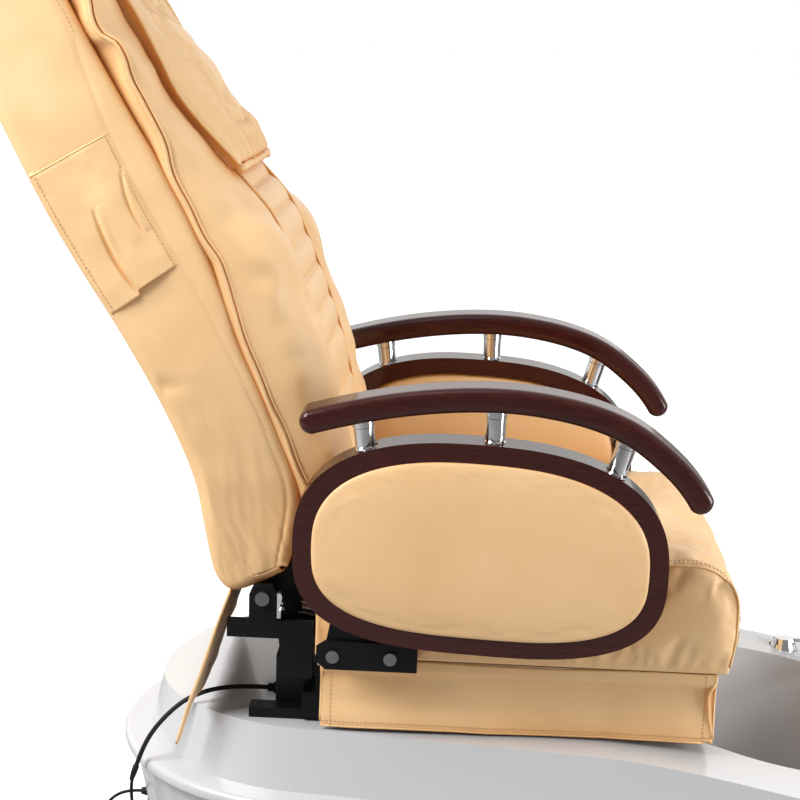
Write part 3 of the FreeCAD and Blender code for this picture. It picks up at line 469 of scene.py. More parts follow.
PIPING_V = curve_of([(0.06, 0.118), (0.12, 0.125), (0.20, 0.130), (0.26, 0.134),
                     (0.33, 0.138), (0.40, 0.145), (0.43, 0.151), (0.467, 0.157),
                     (0.508, 0.152), (0.551, 0.153), (0.60, 0.152), (0.652, 0.159),
                     (0.708, 0.158), (0.744, 0.158), (0.775, 0.164), (0.797, 0.163),
                     (0.815, 0.150), (0.84, 0.148), (0.864, 0.155), (0.90, 0.158),
                     (0.94, 0.157), (1.02, 0.140)])
PAD_FRONT = curve_of([(0.05, 0.170), (0.10, 0.184), (0.16, 0.198), (0.205, 0.209),
                      (0.25, 0.219), (0.30, 0.227), (0.34, 0.232), (0.38, 0.235),
                      (0.44, 0.239), (0.487, 0.239), (0.52, 0.232), (0.55, 0.223),
                      (0.60, 0.208), (0.65, 0.193), (0.72, 0.181), (0.80, 0.178),
                      (0.87, 0.174), (0.94, 0.162), (1.02, 0.140)])
PILLOW_SIDE = curve_of([(0.56, 0.231), (0.581, 0.228), (0.649, 0.206), (0.704, 0.194),
                        (0.759, 0.193), (0.847, 0.189), (0.95, 0.170)])
RIBS = [0.075, 0.135, 0.196, 0.272, 0.322, 0.378, 0.429, 0.486, 0.536, 0.590]


def side_relief(up, front):
    """How far the cover's side stands out, in metres: its padding, folds and pulled seams."""
    rise = 0.0022 * np.sin(np.pi * np.clip((front + 0.04) / 0.16, 0, 1))
    rise = rise - 0.0016 * bell(front, SEAM_FRONT(up), 0.0035)
    rise = rise - 0.0010 * bell(front, REAR_LINE(up) + 0.012, 0.004)
    spots = (up, front * 0.7 + up * 0.25, 0)
    rise = rise + 0.0020 * noise3(spots, 0.11, 3, 3) * step(up, 0.03, 0.12)
    along = (up * 0.35, front * 1.8 - up * 0.5, 0)
    rise = rise + 0.0011 * noise3(along, 0.035, 8) * step(0.5 - up, 0.1, 0.4)
    near_hem = step(0.16 - up, 0.0, 0.10)
    rise = rise + 0.0013 * near_hem * noise3((up * 0.5, front * 2.2, 0), 0.02, 5)
    pull = np.abs(up - 0.345 + (front + 0.01) * 0.35)
    rise = rise - 0.0035 * np.exp(-(pull / 0.012) ** 2) * step(0.055 - front, 0.0, 0.06)
    return rise


def build_cover():
    """The back's cover: relieved sides, rounded rear corners and a lip turned in to the pad."""
    rows, corner = 236, 0.015
    rear = smooth_line(SHELL_REAR, rows)
    tangent = np.gradient(rear, axis=0)
    tangent /= np.linalg.norm(tangent, axis=1, keepdims=True)
    outward = np.stack([tangent[:, 1], -tangent[:, 0]], 1)
    edge = smooth_line(SHELL_EDGE, 600)
    share = np.interp(np.linspace(0, 1, rows), [0, 0.07, 0.11, 0.88, 0.93, 1],
                      [0, 0.035, 0.075, 0.945, 0.975, 1])
    share = np.convolve(np.pad(share, 8, mode="edge"), np.ones(17) / 17, "valid")
    edge = np.stack([np.interp(share, np.linspace(0, 1, 600), edge[:, k]) for k in (0, 1)], 1)
    inset = rear - outward * corner
    reach = np.linalg.norm(inset - edge, axis=1)
    size = np.clip(reach / 0.10, 0.05, 1)[:, None]
    across = np.linspace(0, 1, 46)[None, :]
    side = edge[:, None] + (inset - edge)[:, None] * across[..., None]
    # the front edge is a soft roll that turns in towards the pad
    roll = np.exp(-across * reach[:, None] / 0.006)
    half = BACK_HALF - 0.006 * roll * size
    half = half + side_relief(side[..., 0], side[..., 1]) * size * (1 - roll)
    lip_in = np.array([(0.226, -0.034), (0.229, -0.020), (0.232, -0.008), (0.236, -0.001),
                       (0.240, 0.0015)])
    toward = (edge - inset) / reach[:, None]
    lip = edge[:, None] + toward[:, None] * lip_in[None, :, 1:] * size[..., None]
    lip_half = np.broadcast_to(lip_in[:, 0], (rows, 5))
    bend = np.linspace(0.15, 1, 6)[None, :] * np.pi / 2
    round_half = BACK_HALF - corner + corner * np.cos(bend)
    rounded = inset[:, None] + outward[:, None] * (corner * np.sin(bend))[..., None]
    flat = np.linspace(1, -1, 62)[None, 1:-1] * (BACK_HALF - corner)
    crown = 0.004 * (1 - (flat / 0.235) ** 2)
    wave = noise3((rear[:, :1], flat, 0), 0.13, 12, 3)
    back = rear[:, None] + outward[:, None] * (crown + 0.0022 * wave * size)[..., None]
    back_half = np.broadcast_to(flat, (rows, 60))
    halves = np.concatenate([lip_half, half, np.broadcast_to(round_half, (rows, 6)), back_half,
                             -np.broadcast_to(round_half, (rows, 6))[:, ::-1], -half[:, ::-1],
                             -lip_half[:, ::-1]], axis=1)
    place = np.concatenate([lip, side, rounded, back, rounded[:, ::-1], side[:, ::-1],
                            lip[:, ::-1]], axis=1)
    cover = skin("back_cover", lean(-halves, place[..., 0], place[..., 1]), flip=True)
    thick = cover.modifiers.new("hide", "SOLIDIFY")
    thick.thickness, thick.offset = 0.0022, -1
    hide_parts("back_shell")
    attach(cover, "back")

    up = np.linspace(0.075, 0.985, 420)
    lines = []
    seam = SEAM_FRONT(up)
    for sign in (-1, 1):
        for front in (seam - 0.0035, seam + 0.0035, REAR_LINE(up) + 0.020):
            lines.append((lean(sign * (0.2502 + side_relief(up, front)), up, front),
                          np.tile((sign, 0, 0), (len(up), 1))))
    threads = stitching("cover_stitches", lines, THREAD)
    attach(threads, "back")


def build_pocket():
    """The side pocket: a patch gathered into two darts, open along its lower edge."""
    rows, columns = 96, 64
    t = np.linspace(0, 1, rows)[:, None]
    s = np.linspace(0, 1, columns)[None, :]
    top = 0.689 + 0.007 * s
    low = 0.464 + 0.018 * s + 0.007 * step(s, 0.42, 0.45)
    up = low + (top - low) * t
    front = REAR_LINE(up) + 0.004 + (SEAM_FRONT(up) - 0.001 - REAR_LINE(up) - 0.004) * s
    body = 0.0030 + 0.0045 * np.sin(np.pi * s) ** 0.8 * (1 - t) ** 0.7
    body = body + 0.0040 * bell(s, 0.66, 0.14) * bell(t, 0.45, 0.4)
    for base, tip, where, depth, width in ((0.0, 0.60, (0.43, 0.47), 0.0060, 0.020),
                                           (0.30, 0.78, (0.84, 0.985), 0.0040, 0.018)):
        part = np.clip((t - base) / (tip - base), 0, 1)
        line = where[0] + (where[1] - where[0]) * part - 0.06 * np.sin(np.pi * part)
        fade = np.sin(np.pi * np.clip(part * 0.92 + 0.08, 0, 1)) ** 0.6
        fade = fade * ((t >= base) & (t <= tip))
        away = s - line
        body = body - depth * fade * np.exp(-(away / width) ** 2)
        body = body + depth * 0.7 * fade * np.exp(-((away - 0.055) / 0.05) ** 2)
    body = body + 0.0012 * noise3((up, front, 0), 0.04, 21)
    edge = np.minimum(np.minimum(s, 1 - s) / 0.05, (1 - t) / 0.04)
    body = body * np.clip(edge, 0.12, 1) ** 0.5
    half = BACK_HALF + side_relief(up, front) + body
    pocket = skin("pocket_right", lean(-half, up, front), flip=True)
    thick = pocket.modifiers.new("hide", "SOLIDIFY")
    thick.thickness, thick.offset = 0.0016, -1
    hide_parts("side_pocket")
    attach(pocket, "back")
    seam = rope("pocket_hem", lean(0.0003 - half[-3], up[-3], front[-3])[::2], 0.0016)
    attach(seam, "back")
    lines = [(lean(-half[:, k] - 0.0002, up[:, k], front[:, k]), np.tile((-1, 0, 0), (rows, 1)))
             for k in (3, -4)]
    threads = stitching("pocket_stitches", lines, THREAD)
    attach(threads, "back")


def build_pad():
    """The padded front: two slanted wings with piped edges and a middle panel of sewn ribs."""
    rows, low_end, high_end = 232, 0.058, 1.018
    up = np.linspace(low_end, high_end, rows)
    pipe, face = PIPING_V(up) + 0.001, PAD_FRONT(up)
    sections = []
    for row in range(rows):
        p, f = pipe[row], face[row]
        keys = [(0.190, 0.158), (0.200, 0.128), (0.222, 0.124), (0.238, p - 0.016),
                (0.2455, p - 0.008), (0.2475, p)]
        side = smooth_line(keys, 16)[:-1]
        swell_v = f + 0.010 * bell(up[row], 0.22, 0.14)
        wing = smooth_line([(0.2475, p), (0.240, p + (f - p) * 0.46), (0.224, p + (f - p) * 0.80),
                            (0.195, swell_v - 0.002), (0.155, swell_v), (RIB_HALF, f - 0.003)],
                           40)[:-1]
        middle = smooth_line([(RIB_HALF, f - 0.003), (0.100, f), (0.06, f + 0.0015),
                              (0, f + 0.002)], 25)
        sections.append(np.vstack([side, wing, middle]))
    section = np.array(sections)
    x, v = section[..., 0], section[..., 1]
    u = np.broadcast_to(up[:, None], x.shape)
    ribbed = step(RIB_HALF - x, 0.0, 0.010)
    puffed = np.zeros_like(v)
    for low, high in zip(RIBS, RIBS[1:]):
        t = np.clip((u - low) / (high - low), 0, 1)
        puffed += np.where((t > 0) & (t < 1), (4 * t ** 1.15 * (1 - t ** 1.15)) ** 0.55, 0)
    v = v + ribbed * 0.0080 * (puffed - 0.70) * step(0.60 - u, 0.0, 0.03)
    pleat = np.sin(x * 300 + 5 * noise3((x, u, 0), 0.05, 2))
    v = v + ribbed * 0.0016 * pleat * (1 - puffed) * step(0.60 - u, 0.0, 0.03)
    on_wing = step(x, RIB_HALF + 0.004, RIB_HALF + 0.02) * step(0.2470 - x, 0.0, 0.012)
    spots = (u, v, x * 0.6)
    swell = 0.0080 * noise3(spots, 0.10, 41, 3)
    for cu, cx, depth, wide in ((0.70, 0.225, 0.007, 0.030), (0.52, 0.205, 0.011, 0.036),
                                (0.335, 0.190, 0.012, 0.040), (0.20, 0.215, 0.010, 0.030),
                                (0.83, 0.225, 0.006, 0.030)):
        far = np.hypot(u - cu, (x - cx) * 1.3 + (v - 0.19) * 0.4)
        swell = swell - depth * np.exp(-(far / wide) ** 2)
    ridge = np.sin((u * 0.75 + v * 1.25) * 70 + 4 * noise3(spots, 0.13, 6))
    swell = swell + 0.0011 * ridge * noise3(spots, 0.08, 15)
    v = v + on_wing * swell * 0.9
    x = x + on_wing * swell * 0.5
    # the ends close in a rounded loaf
    near = np.clip(np.minimum((up - low_end) / 0.030, (high_end - up) / 0.055), 0, 1)
    shut = np.sqrt(np.clip(1 - (1 - near) ** 2, 0, 1))[:, None]
    middle_v = 0.155
    v = middle_v + (v - middle_v) * (0.25 + 0.75 * shut)
    x = x * (0.90 + 0.10 * shut)
    x = np.concatenate([-x, x[:, -2::-1]], axis=1)
    v = np.concatenate([v, v[:, -2::-1]], axis=1)
    points = lean(x, up[:, None], v)
    first, last = points[:1].mean(1, keepdims=True), points[-1:].mean(1, keepdims=True)
    points = np.concatenate([np.broadcast_to(first, points[:1].shape), points,
                             np.broadcast_to(last, points[:1].shape)])
    pad = skin("back_padding", points, wrap_columns=True, flip=True)
    free = np.maximum(ribbed * step(puffed, 0.35, 0.7) * step(0.60 - u, 0, 0.02), on_wing)
    free = np.concatenate([free, free[:, -2::-1]], axis=1)
    held = np.clip(1 - free, 0, 1)
    held = np.concatenate([held[:1] * 0 + 1, held, held[:1] * 0 + 1]).ravel()
    puff(pad, held, pressure=1.2, grow=0.035, cap=0.0045, bend=0.6, stiff=20, frames=14)
    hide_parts("back_pad")
    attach(pad, "back")

    inner = slice(8, rows - 12)
    keep = up[inner]
    waver = 0.0018 * noise3((keep, 0, 0), 0.05, 77)
    for sign, name in ((-1, "right"), (1, "left")):
        edge = lean(sign * (0.2490 - waver * 0.5), keep, pipe[inner] + waver)
        piping = rope("wing_piping_" + name, edge[::2], 0.0030)
        seam = rope("rib_piping_" + name, lean(np.full(len(keep), sign * RIB_HALF), keep,
                                               face[inner] - 0.0010)[::2], 0.0024)
        for made in (piping, seam):
            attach(made, "back")
    for sign, name in ((-1, "right"), (1, "left")):
        turned = lean(sign * (0.2462 - waver * 0.4), keep, pipe[inner] + 0.0062 + waver)
        second = rope("wing_roll_" + name, turned[::2], 0.0022)
        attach(second, "back")


def build_pillow():
    """The head pillow: a loose flap with piped sides, gathered into pleats at its lower end."""
    rows, columns, low_end, high_end = 104, 96, 0.572, 0.948
    up = np.linspace(low_end, high_end, rows)[:, None]
    across = np.linspace(-1, 1, columns)[None, :]
    side_v = PILLOW_SIDE(up)
    face_v = curve_of([(0.56, 0.238), (0.575, 0.245), (0.600, 0.2505), (0.625, 0.250),
                       (0.658, 0.242), (0.696, 0.233), (0.734, 0.223), (0.777, 0.210),
                       (0.817, 0.196), (0.853, 0.186), (0.90, 0.177), (0.95, 0.166)])(up)
    x = PILLOW_HALF * across * (1 - 0.03 * step(0.62 - up, 0, 0.05))
    crown = (1 - np.abs(across) ** 2.1) ** 0.72
    front = side_v + (face_v - side_v) * crown
    gather = np.exp(-(up - low_end) / 0.042)
    fold = np.sin(across * 44 + 5 * noise3((across, up, 0), 0.3, 4))
    front = front + 0.0058 * fold * gather * (1 - np.abs(across) ** 6)
    front = front + 0.0035 * noise3((x * 0.5, up, 0), 0.07, 52, 3) * crown
    under = side_v - 0.004 - 0.010 * crown
    under = np.maximum(under, PAD_FRONT(up) + 0.003 - 0.006 * np.abs(across) ** 4)
    ends = np.minimum((up - low_end) / 0.012, (high_end - up) / 0.030)
    shut = np.sqrt(np.clip(1 - (1 - np.clip(ends, 0, 1)) ** 2, 0, 1))
    middle = (front + under) / 2
    front = middle + (front - middle) * shut
    under = middle + (under - middle) * shut
    whole_x = np.concatenate([np.broadcast_to(x, front.shape), x[:, -2:0:-1] + 0 * up], axis=1)
    whole_v = np.concatenate([front, under[:, -2:0:-1]], axis=1)
    whole_u = np.broadcast_to(up, whole_x.shape)
    points = lean(whole_x, whole_u, whole_v)
    pillow = skin("head_cushion", points, wrap_columns=True, flip=True)
    free = np.concatenate([crown * step(up, 0.59, 0.63) * step(0.945 - up, 0, 0.03),
                           np.zeros((rows, columns - 2))], axis=1)
    puff(pillow, (1 - free).ravel(), pressure=1.5, grow=0.04, cap=0.008, bend=0.5, frames=14)
    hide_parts("head_pillow")
    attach(pillow, "back")
    line = np.linspace(low_end, high_end - 0.003, 120)
    side_line = PILLOW_SIDE(line)
    for sign, name in ((-1, "right"), (1, "left")):
        edge = rope("pillow_piping_" + name,
                    lean(np.full(120, sign * 0.1505), line, side_line)[::2], 0.0030)
        depth = np.linspace(0, 1, 9)[:, None]
        wall = side_line - 0.001 + (PAD_FRONT(line) - 0.006 - side_line) * depth
        gusset = skin("pillow_gusset_" + name,
                      lean(sign * (0.1498 - 0.010 * np.sin(depth * 2.2)), line[None, :], wall),
                      flip=sign > 0)
        for made in (edge, gusset):
            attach(made, "back")
    s = np.linspace(-1, 1, 150)
    hem = lean(s * 0.148, 0.5685 + 0.0022 * noise3((s, 0, 0), 0.06, 9),
               0.230 + 0.009 * (1 - s ** 4) + 0.0025 * noise3((s, 0, 0), 0.05, 19))
    roll = rope("pillow_hem", hem, 0.0055, sides=12)
    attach(roll, "back")


# ---------------------------------------------------------------- seat

def build_cushion():
    """The seat: a crowned block with a rolled front edge, sewn channels and piped side seams."""
    low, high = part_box("seat_cushion")
    counts = (80, 92, 26)
    spots, faces = crate(counts)
    a, b, c = spots.T
    y = (low.y + high.y) / 2 + b * (high.y - low.y) / 2
    z = (low.z + high.z) / 2 + c * (high.z - low.z) / 2
    r = 0.066
    core_y, core_z = np.maximum(y, low.y + r), np.minimum(z, high.z - r)
    dy, dz = y - core_y, z - core_z
    both = (dy < 0) & (dz > 0)
    square = np.maximum(np.abs(dy), np.abs(dz))
    fit = np.where(both, square / np.maximum(np.hypot(dy, dz), 1e-9), 1)
    y, z = core_y + dy * fit, core_z + dz * fit
    y = y + 0.007 * step(0.53 - z, 0.0, 0.07) * step(0.05 - y - 0.25, 0, 0.05)
    edge_top = step(c, 0.80, 1.0)
    x = 0.2645 * a * (1 - 0.022 * edge_top * np.abs(a))
    x = x + np.sign(a) * (np.abs(a) == 1) * 0.0020 * (1 - b ** 4) * (1 - c ** 2)
    z = z - 0.005 * edge_top * np.abs(a) ** 14
    cushion = make("seat_padding", np.stack([x, y, z], 1), faces)
    seam_x = 0.165
    on_top = (c == 1) | ((b == -1) & (c > -0.9))
    held = bell(np.abs(x), seam_x, 0.0042) * on_top
    for rib in (-0.245, -0.165, -0.085, -0.005, 0.075, 0.155):
        held = np.maximum(held, bell(y, rib, 0.0045) * (np.abs(x) < seam_x) * (c == 1))
    held = np.maximum(held, (np.abs(a) == 1) & ((c == 1) | (b == -1)))
    held = np.maximum(held, step(-c, 0.86, 0.94))
    held = np.maximum(held, step(b, 0.93, 0.99))
    held = np.clip(held, 0, 1)
    puff(cushion, held, pressure=3.2, grow=0.022, cap=0.009, bend=1.2, stiff=22, frames=16)
    at = np.empty(len(spots) * 3)
    cushion.data.vertices.foreach_get("co", at)
    at = at.reshape(-1, 3)
    depth = 0.0022 * bell(np.abs(x), seam_x, 0.004) * on_top
    at[:, 2] -= depth * (c == 1)
    at[:, 1] += depth * (b == -1)
    cushion.data.vertices.foreach_set("co", at.ravel())
    cushion.data.update()
    fine = cushion.modifiers.new("fine", "SUBSURF")
    fine.levels = fine.render_levels = 1
    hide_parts("seat_cushion")
    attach(cushion, "seat")

    lines = []
    key = {tuple(spot): i for i, spot in enumerate(np.round(spots, 6).tolist())}
    for sign in (-1, 1):
        for inner in (1, 2):
            column = round(sign * (1 - 2 * inner / counts[0]), 6)
            path = [key[(column, round(2 * k / counts[1] - 1, 6), 1.0)]
                    for k in range(counts[1], -1, -1)]
            path += [key[(column, -1.0, round(2 * k / counts[2] - 1, 6))]
                     for k in range(counts[2] - 1, 1, -1)]
            line = smooth_line(at[path], 400)
            run = np.gradient(line, axis=0)
            out = np.cross(run, (1, 0, 0))
            out /= np.linalg.norm(out, axis=1, keepdims=True)
            lines.append((line, out))
    threads = stitching("seat_stitches", lines, THREAD)
    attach(threads, "seat")
    for sign, name in ((-1, "right"), (1, "left")):
        path = [key[(float(sign), round(2 * k / counts[1] - 1, 6), 1.0)]
                for k in range(counts[1], -1, -1)]
        path += [key[(float(sign), -1.0, round(2 * k / counts[2] - 1, 6))]
                 for k in range(counts[2] - 1, 1, -1)]
        seam = rope("seat_seam_" + name, smooth_line(at[path], 160), 0.0017)
        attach(seam, "seat")


def skirt_panel(name, start, end, out, tuck):
    """One hanging skirt panel from start to end, tucked in at its top, hemmed on three edges."""
    rows, columns = 30, 120
    t = np.linspace(0, 1, rows)[:, None]
    s = np.linspace(0, 1, columns)[None, :]
    start, end, out = np.array(start), np.array(end), np.array(out)
    base = start + (end - start) * s[..., None]
    z = 0.4640 - 0.105 * t
    swing = tuck * step(t, 0.13, 0.28) * (1 - step(t, 0.28, 0.92))
    fold = 0.0035 * noise3((s * 0.6, t * 0.03, 0), 0.09, len(name)) * t
    wave = 0.0045 * np.sin(s * 7.3 + 0.6) * t + fold
    wave = wave * (1 - (2 * s - 1) ** 8)
    dent = 0.004 * bell(t, 0.66, 0.16) * bell(s, 0.22, 0.25)
    shift = -swing + wave - dent - 0.0015
    points = base + out * shift[..., None]
    points[..., 2] = z + 0.0015 * np.sin(s * 9)
    panel = skin(name, points)
    thick = panel.modifiers.new("hide", "SOLIDIFY")
    thick.thickness, thick.offset = 0.0022, 0
    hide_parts("seat_skirt")
    edges = [points[-1][::4], points[::3, 0], points[::3, -1]]
    hems = [rope("%s_hem_%d" % (name, i), edge, 0.0020) for i, edge in enumerate(edges)]
    for hem in hems:
        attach(hem, "seat")
    facing = np.tile(out, (200, 1))
    inside = [points[-3], points[:, 3], points[:, -4]]
    lines = [(smooth_line(path, 200) + out * 0.0013, facing) for path in inside]
    threads = stitching(name + "_stitches", lines, THREAD)
    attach(threads, "seat")
    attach(panel, "seat")


def build_flap():
    """The rear flap, hanging from the back's lower edge over the mechanism."""
    rows, columns, top, low = 60, 150, 0.556, 0.311
    t = np.linspace(0, 1, rows)[:, None]
    s = np.linspace(-1, 1, columns)[None, :]
    drop = 0.379 - 0.065 * step(np.abs(s), 0.93, 1.0)
    line_y = curve_of([(0.0, 0.4070), (0.22, 0.4260), (0.45, 0.4440), (0.70, 0.4640),
                       (0.88, 0.4760), (1.0, 0.4850)])
    z = top + (drop - top) * t
    y = line_y(np.clip((top - z) / (top - low), 0, 1))
    y = y + 0.0035 * noise3((s * 0.25, t * 0.24, 0), 0.08, 61) * t
    y = y + 0.002 * np.sin(s * 3.1) * t
    y = y - 0.008 * step(t, 0.06, 0.42) * (1 - s ** 6)
    x = 0.2560 * s
    points = np.stack(np.broadcast_arrays(x, y, z), -1)
    flap = skin("rear_flap_leather", points, flip=True)
    flap.data.materials.append(BACKING)
    thick = flap.modifiers.new("hide", "SOLIDIFY")
    thick.thickness, thick.offset, thick.material_offset = 0.0030, 0, 1
    edge = np.concatenate([points[:, 0], points[-1, 1:], points[::-1, -1][1:]])
    hem = rope("flap_hem", smooth_line(edge[::3], 260), 0.0024)
    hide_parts("rear_flap")
    for made in (flap, hem):
        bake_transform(made)


# ---------------------------------------------------------------- armrests

def arm_outline(count):
    """The wooden frame's inner outline as (y, z)."""
    turn = np.linspace(0, 2 * np.pi, count, endpoint=False)
    wood = 0.0276
    rise = np.where(np.sin(turn) > 0, 0.166, 0.141) - wood
    power = np.where(np.sin(turn) > 0, 2 / 2.5, 2 / 2.95)
    y = np.sign(np.cos(turn)) * np.abs(np.cos(turn)) ** power * (0.264 - wood)
    z = np.sign(np.sin(turn)) * np.abs(np.sin(turn)) ** power * rise
    keys = np.stack([0.046 + y, 0.645 + z + 0.04 * y], 1)[::max(1, count // 40)]
    return smooth_line(keys, count, closed=True)


def build_arm_pads():
    """The crowned pads that fill the wooden rings, swelling a little over the ring's edge."""
    columns = 220
    rim = arm_outline(columns)
    centre = rim.mean(0)
    profile = smooth_line([(0.0, 0.3420), (0.40, 0.3414), (0.68, 0.3398), (0.86, 0.3372),
                           (0.95, 0.3346), (0.99, 0.3318), (1.0, 0.3300), (0.997, 0.3200),
                           (0.996, 0.3100), (0.996, 0.2960), (0.990, 0.2830), (0.95, 0.2765),
                           (0.86, 0.2735), (0.65, 0.2715), (0.35, 0.2702), (0.0, 0.2700)], 110)
    share, depth = profile[:, :1], profile[:, 1:]
    over = 0.0035 * bell(depth, 0.3335, 0.003) * step(share, 0.9, 0.97)
    low = np.clip((centre[1] - rim[:, 1]) / 0.11, 0, 1)[None, :]
    reach = 1 + over / 0.11 * (0.4 + 0.9 * low)
    y = centre[0] + (rim[:, 0] - centre[0])[None, :] * share * (1 + over / 0.24)
    z = centre[1] + (rim[:, 1] - centre[1])[None, :] * share * reach
    turn = np.linspace(0, 2 * np.pi, columns, endpoint=False)[None, :]
    around = (np.cos(turn) * 0.5, np.sin(turn) * 0.5, share)
    pucker = 0.0009 * bell(share, 0.90, 0.05) * noise3(around, 0.05, 5)
    dent = 0.0012 * noise3((y, z, 0), 0.14, 18)
    for sign, side in ((-1, "right"), (1, "left")):
        outside = step(depth, 0.296, 0.306) * 2 - 1
        half = depth + (dent + pucker) * outside * step(1 - share, 0.01, 0.05)
        points = np.stack(np.broadcast_arrays(sign * half, y, z), -1)
        pad = skin("arm_pad_" + side, points, wrap_columns=True, flip=sign > 0)
        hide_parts("arm_panel_" + side)
        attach(pad, "arm_" + side)


# ---------------------------------------------------------------- supply lead

def cord(name, route, radius, look):
    """A round cable along a smooth curve through the route."""
    curve = bpy.data.curves.new(name, "CURVE")
    curve.dimensions = "3D"
    curve.bevel_depth = radius
    curve.bevel_resolution = 5
    curve.resolution_u = 16
    curve.use_fill_caps = True
    spline = curve.splines.new("NURBS")
    spline.points.add(len(route) - 1)
    for point, spot in zip(spline.points, route):
        point.co = (*spot, 1)
    spline.order_u = 3
    spline.use_endpoint_u = True
    curve.materials.append(look)
    made = bpy.data.objects.new(name, curve)
    SCENE.collection.objects.link(made)
    return made


def build_lead():
    """The sleeve out of the power box, its ribbed coupling, and the lead down to the socket."""
    sleeve_route = [(-0.150, 0.360, 0.368), (-0.150, 0.388, 0.368), (-0.161, 0.420, 0.370),
                    (-0.180, 0.452, 0.370), (-0.193, 0.484, 0.358), (-0.200, 0.511, 0.334),
                    (-0.203, 0.534, 0.304), (-0.203, 0.549, 0.271), (-0.202, 0.557, 0.246)]
    lead_route = [(-0.202, 0.557, 0.246), (-0.2012, 0.5634, 0.226), (-0.200, 0.563, 0.195),
                  (-0.196, 0.560, 0.164), (-0.186, 0.566, 0.132), (-0.168, 0.582, 0.102),
                  (-0.142, 0.606, 0.082), (-0.110, 0.628, 0.074), (-0.080, 0.642, 0.082),
                  (-0.058, 0.640, 0.104), (-0.046, 0.622, 0.124), (-0.040, 0.598, 0.132),
                  (-0.040, 0.578, 0.132)]
    sleeve = cord("supply_sleeve", sleeve_route, 0.0036, LOOKS["black_rubber"])
    lead = cord("supply_lead", lead_route, 0.0026, LOOKS["black_rubber"])
    t = np.linspace(0, 1, 14)
    radius = np.interp(t, [0, 0.12, 0.5, 0.9, 1], [0.0045, 0.0050, 0.0047, 0.0037, 0.0031])
    start, end = np.array(sleeve_route[-1]), np.array(lead_route[1])
    axis = (end - start) / np.linalg.norm(end - start)
    side = np.cross(axis, (1, 0, 0))
    side /= np.linalg.norm(side)
    turn = np.linspace(0, 2 * np.pi, 20, endpoint=False)
    ring = np.cos(turn)[:, None] * side + np.sin(turn)[:, None] * np.cross(axis, side)
    spots = start - axis * 0.006 + axis * 0.026 * t[:, None]
    ribbed = radius * (1 + 0.06 * np.sin(t * 44))
    points = spots[:, None] + ring[None] * ribbed[:, None, None]
    points = np.concatenate([points[:1] * 0 + spots[0], points, points[:1] * 0 + spots[-1]])
    coupling = skin("lead_coupling", points, LOOKS["black_plastic"], wrap_columns=True,
                    flip=True)
    for made, words in ((sleeve, "black_rubber"), (lead, "black_rubber"),
                        (coupling, "black_plastic")):
        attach(made, "base")
    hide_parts("lead_sleeve")
    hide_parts("power_lead")


BACKING = moulded("hide_backing", (0.52, 0.35, 0.225), (0.60, 0.41, 0.27), 0.6, 0.75, 900,
                  0.0003)
THREAD = moulded("waxed_thread", (0.45, 0.26, 0.115), (0.56, 0.34, 0.165), 0.5, 0.65, 3000)
build_cover()
build_pocket()
build_pad()
build_pillow()
build_cushion()
skirt_panel("skirt_right", (-0.2640, 0.270, 0), (-0.2640, -0.306, 0), (-1, 0, 0), 0.0085)
skirt_panel("skirt_left", (0.2640, -0.306, 0), (0.2640, 0.270, 0), (1, 0, 0), 0.0085)
skirt_panel("skirt_front", (-0.2625, -0.3065, 0), (0.2625, -0.3065, 0), (0, -1, 0), 0.0085)
build_flap()
build_arm_pads()
build_lead()


# ---------------------------------------------------------------- studio

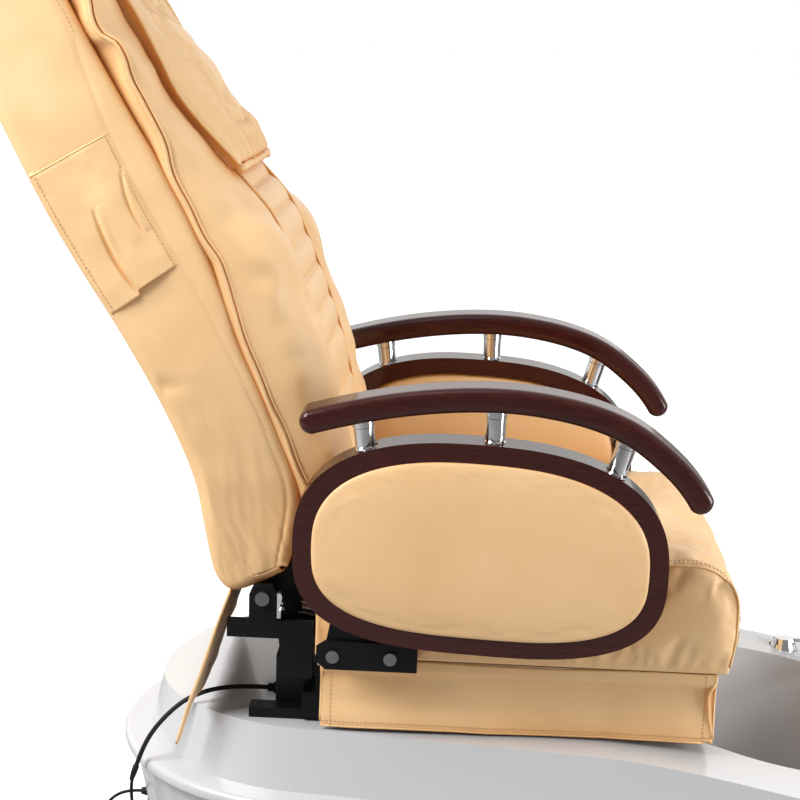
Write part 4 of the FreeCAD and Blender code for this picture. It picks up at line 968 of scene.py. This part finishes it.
def studio():
    """A pale floor, a soft room, three lamps and the camera."""
    size = 40
    mesh = bpy.data.meshes.new("floor")
    mesh.from_pydata([(-size, -size, -0.0005), (size, -size, -0.0005), (size, size, -0.0005),
                      (-size, size, -0.0005)], [], [(0, 1, 2, 3)])
    floor = bpy.data.objects.new("floor", mesh)
    SCENE.collection.objects.link(floor)
    paint = Paint("pale_floor", 0.7, Emission_Color=(1, 1, 1, 1), Emission_Strength=0.42)
    pale = paint.done(paint.colours(paint.noise(2, 3), (0.3, (0.88, 0.88, 0.88)),
                                    (0.7, (0.92, 0.92, 0.92))))
    mesh.materials.append(pale)
    # the sweep throws back little light, so the undersides stay shaded
    nodes, links = pale.node_tree.nodes, pale.node_tree.links
    dull = nodes.new("ShaderNodeBsdfDiffuse")
    dull.inputs["Color"].default_value = (0.36, 0.355, 0.35, 1)
    either = nodes.new("ShaderNodeMixShader")
    links.new(nodes.new("ShaderNodeLightPath").outputs["Is Camera Ray"], either.inputs[0])
    links.new(dull.outputs[0], either.inputs[1])
    links.new(nodes["Principled BSDF"].outputs[0], either.inputs[2])
    links.new(either.outputs[0], nodes["Material Output"].inputs["Surface"])
    world = bpy.data.worlds.new("studio")
    SCENE.world = world
    world.use_nodes = True
    tree = world.node_tree
    sky = tree.nodes["Background"]
    # the room is bright beyond the chair's left side and dim on its right
    toward = tree.nodes.new("ShaderNodeTexCoord").outputs["Generated"]
    lean_to = tree.nodes.new("ShaderNodeVectorMath")
    lean_to.operation = "DOT_PRODUCT"
    tree.links.new(toward, lean_to.inputs[0])
    lean_to.inputs[1].default_value = (0.74, -0.16, 0.06)
    shade = tree.nodes.new("ShaderNodeMapRange")
    for key, number in zip(("From Min", "From Max", "To Min", "To Max"), (-0.5, 0.8, 0.27, 1.25)):
        shade.inputs[key].default_value = number
    tree.links.new(lean_to.outputs["Value"], shade.inputs["Value"])
    tree.links.new(shade.outputs[0], sky.inputs["Strength"])
    sky.inputs["Color"].default_value = (1.0, 0.985, 0.965, 1)
    plain = tree.nodes.new("ShaderNodeBackground")
    plain.inputs["Color"].default_value = (1, 1, 1, 1)
    plain.inputs["Strength"].default_value = 1.0
    chosen = tree.nodes.new("ShaderNodeMixShader")
    tree.links.new(tree.nodes.new("ShaderNodeLightPath").outputs["Is Camera Ray"],
                   chosen.inputs[0])
    tree.links.new(sky.outputs[0], chosen.inputs[1])
    tree.links.new(plain.outputs[0], chosen.inputs[2])
    tree.links.new(chosen.outputs[0], tree.nodes["World Output"].inputs["Surface"])
    for name, spot, aim, power, wide in (
            ("rear_left", (-1.30, 2.35, 2.7), (0, 0.3, 0.8), 145, 1.7),
            ("front", (-0.7, -2.5, 0.8), (0, -0.4, 0.4), 58, 1.2),
            ("top", (-0.9, 0.4, 3.3), (-0.2, 0.0, 0.5), 4, 1.0)):
        lamp = bpy.data.lights.new(name, "AREA")
        lamp.shape = "RECTANGLE"
        lamp.size = lamp.size_y = wide
        lamp.energy = power
        holder = bpy.data.objects.new(name, lamp)
        holder.location = spot
        holder.rotation_euler = (Vector(aim) - Vector(spot)).to_track_quat("-Z", "Y").to_euler()
        SCENE.collection.objects.link(holder)
    SCENE.view_settings.view_transform = "Standard"

    camera = bpy.data.cameras.new("camera")
    camera.lens = 77.67
    camera.sensor_width = 36
    holder = bpy.data.objects.new("camera", camera)
    SCENE.collection.objects.link(holder)
    ahead = Vector((0.97506, 0.03594, -0.21899)).normalized()
    right = Vector((0.03683, -0.99932, 0))
    above = right.cross(ahead)
    roll = math.radians(1.9)
    side = right * math.cos(roll) + above * math.sin(roll)
    up = above * math.cos(roll) - right * math.sin(roll)
    turn = Matrix((side, up, -ahead)).transposed().to_4x4()
    holder.matrix_world = Matrix.Translation((-2.64, 0.080, 1.389)) @ turn
    SCENE.camera = holder


studio()
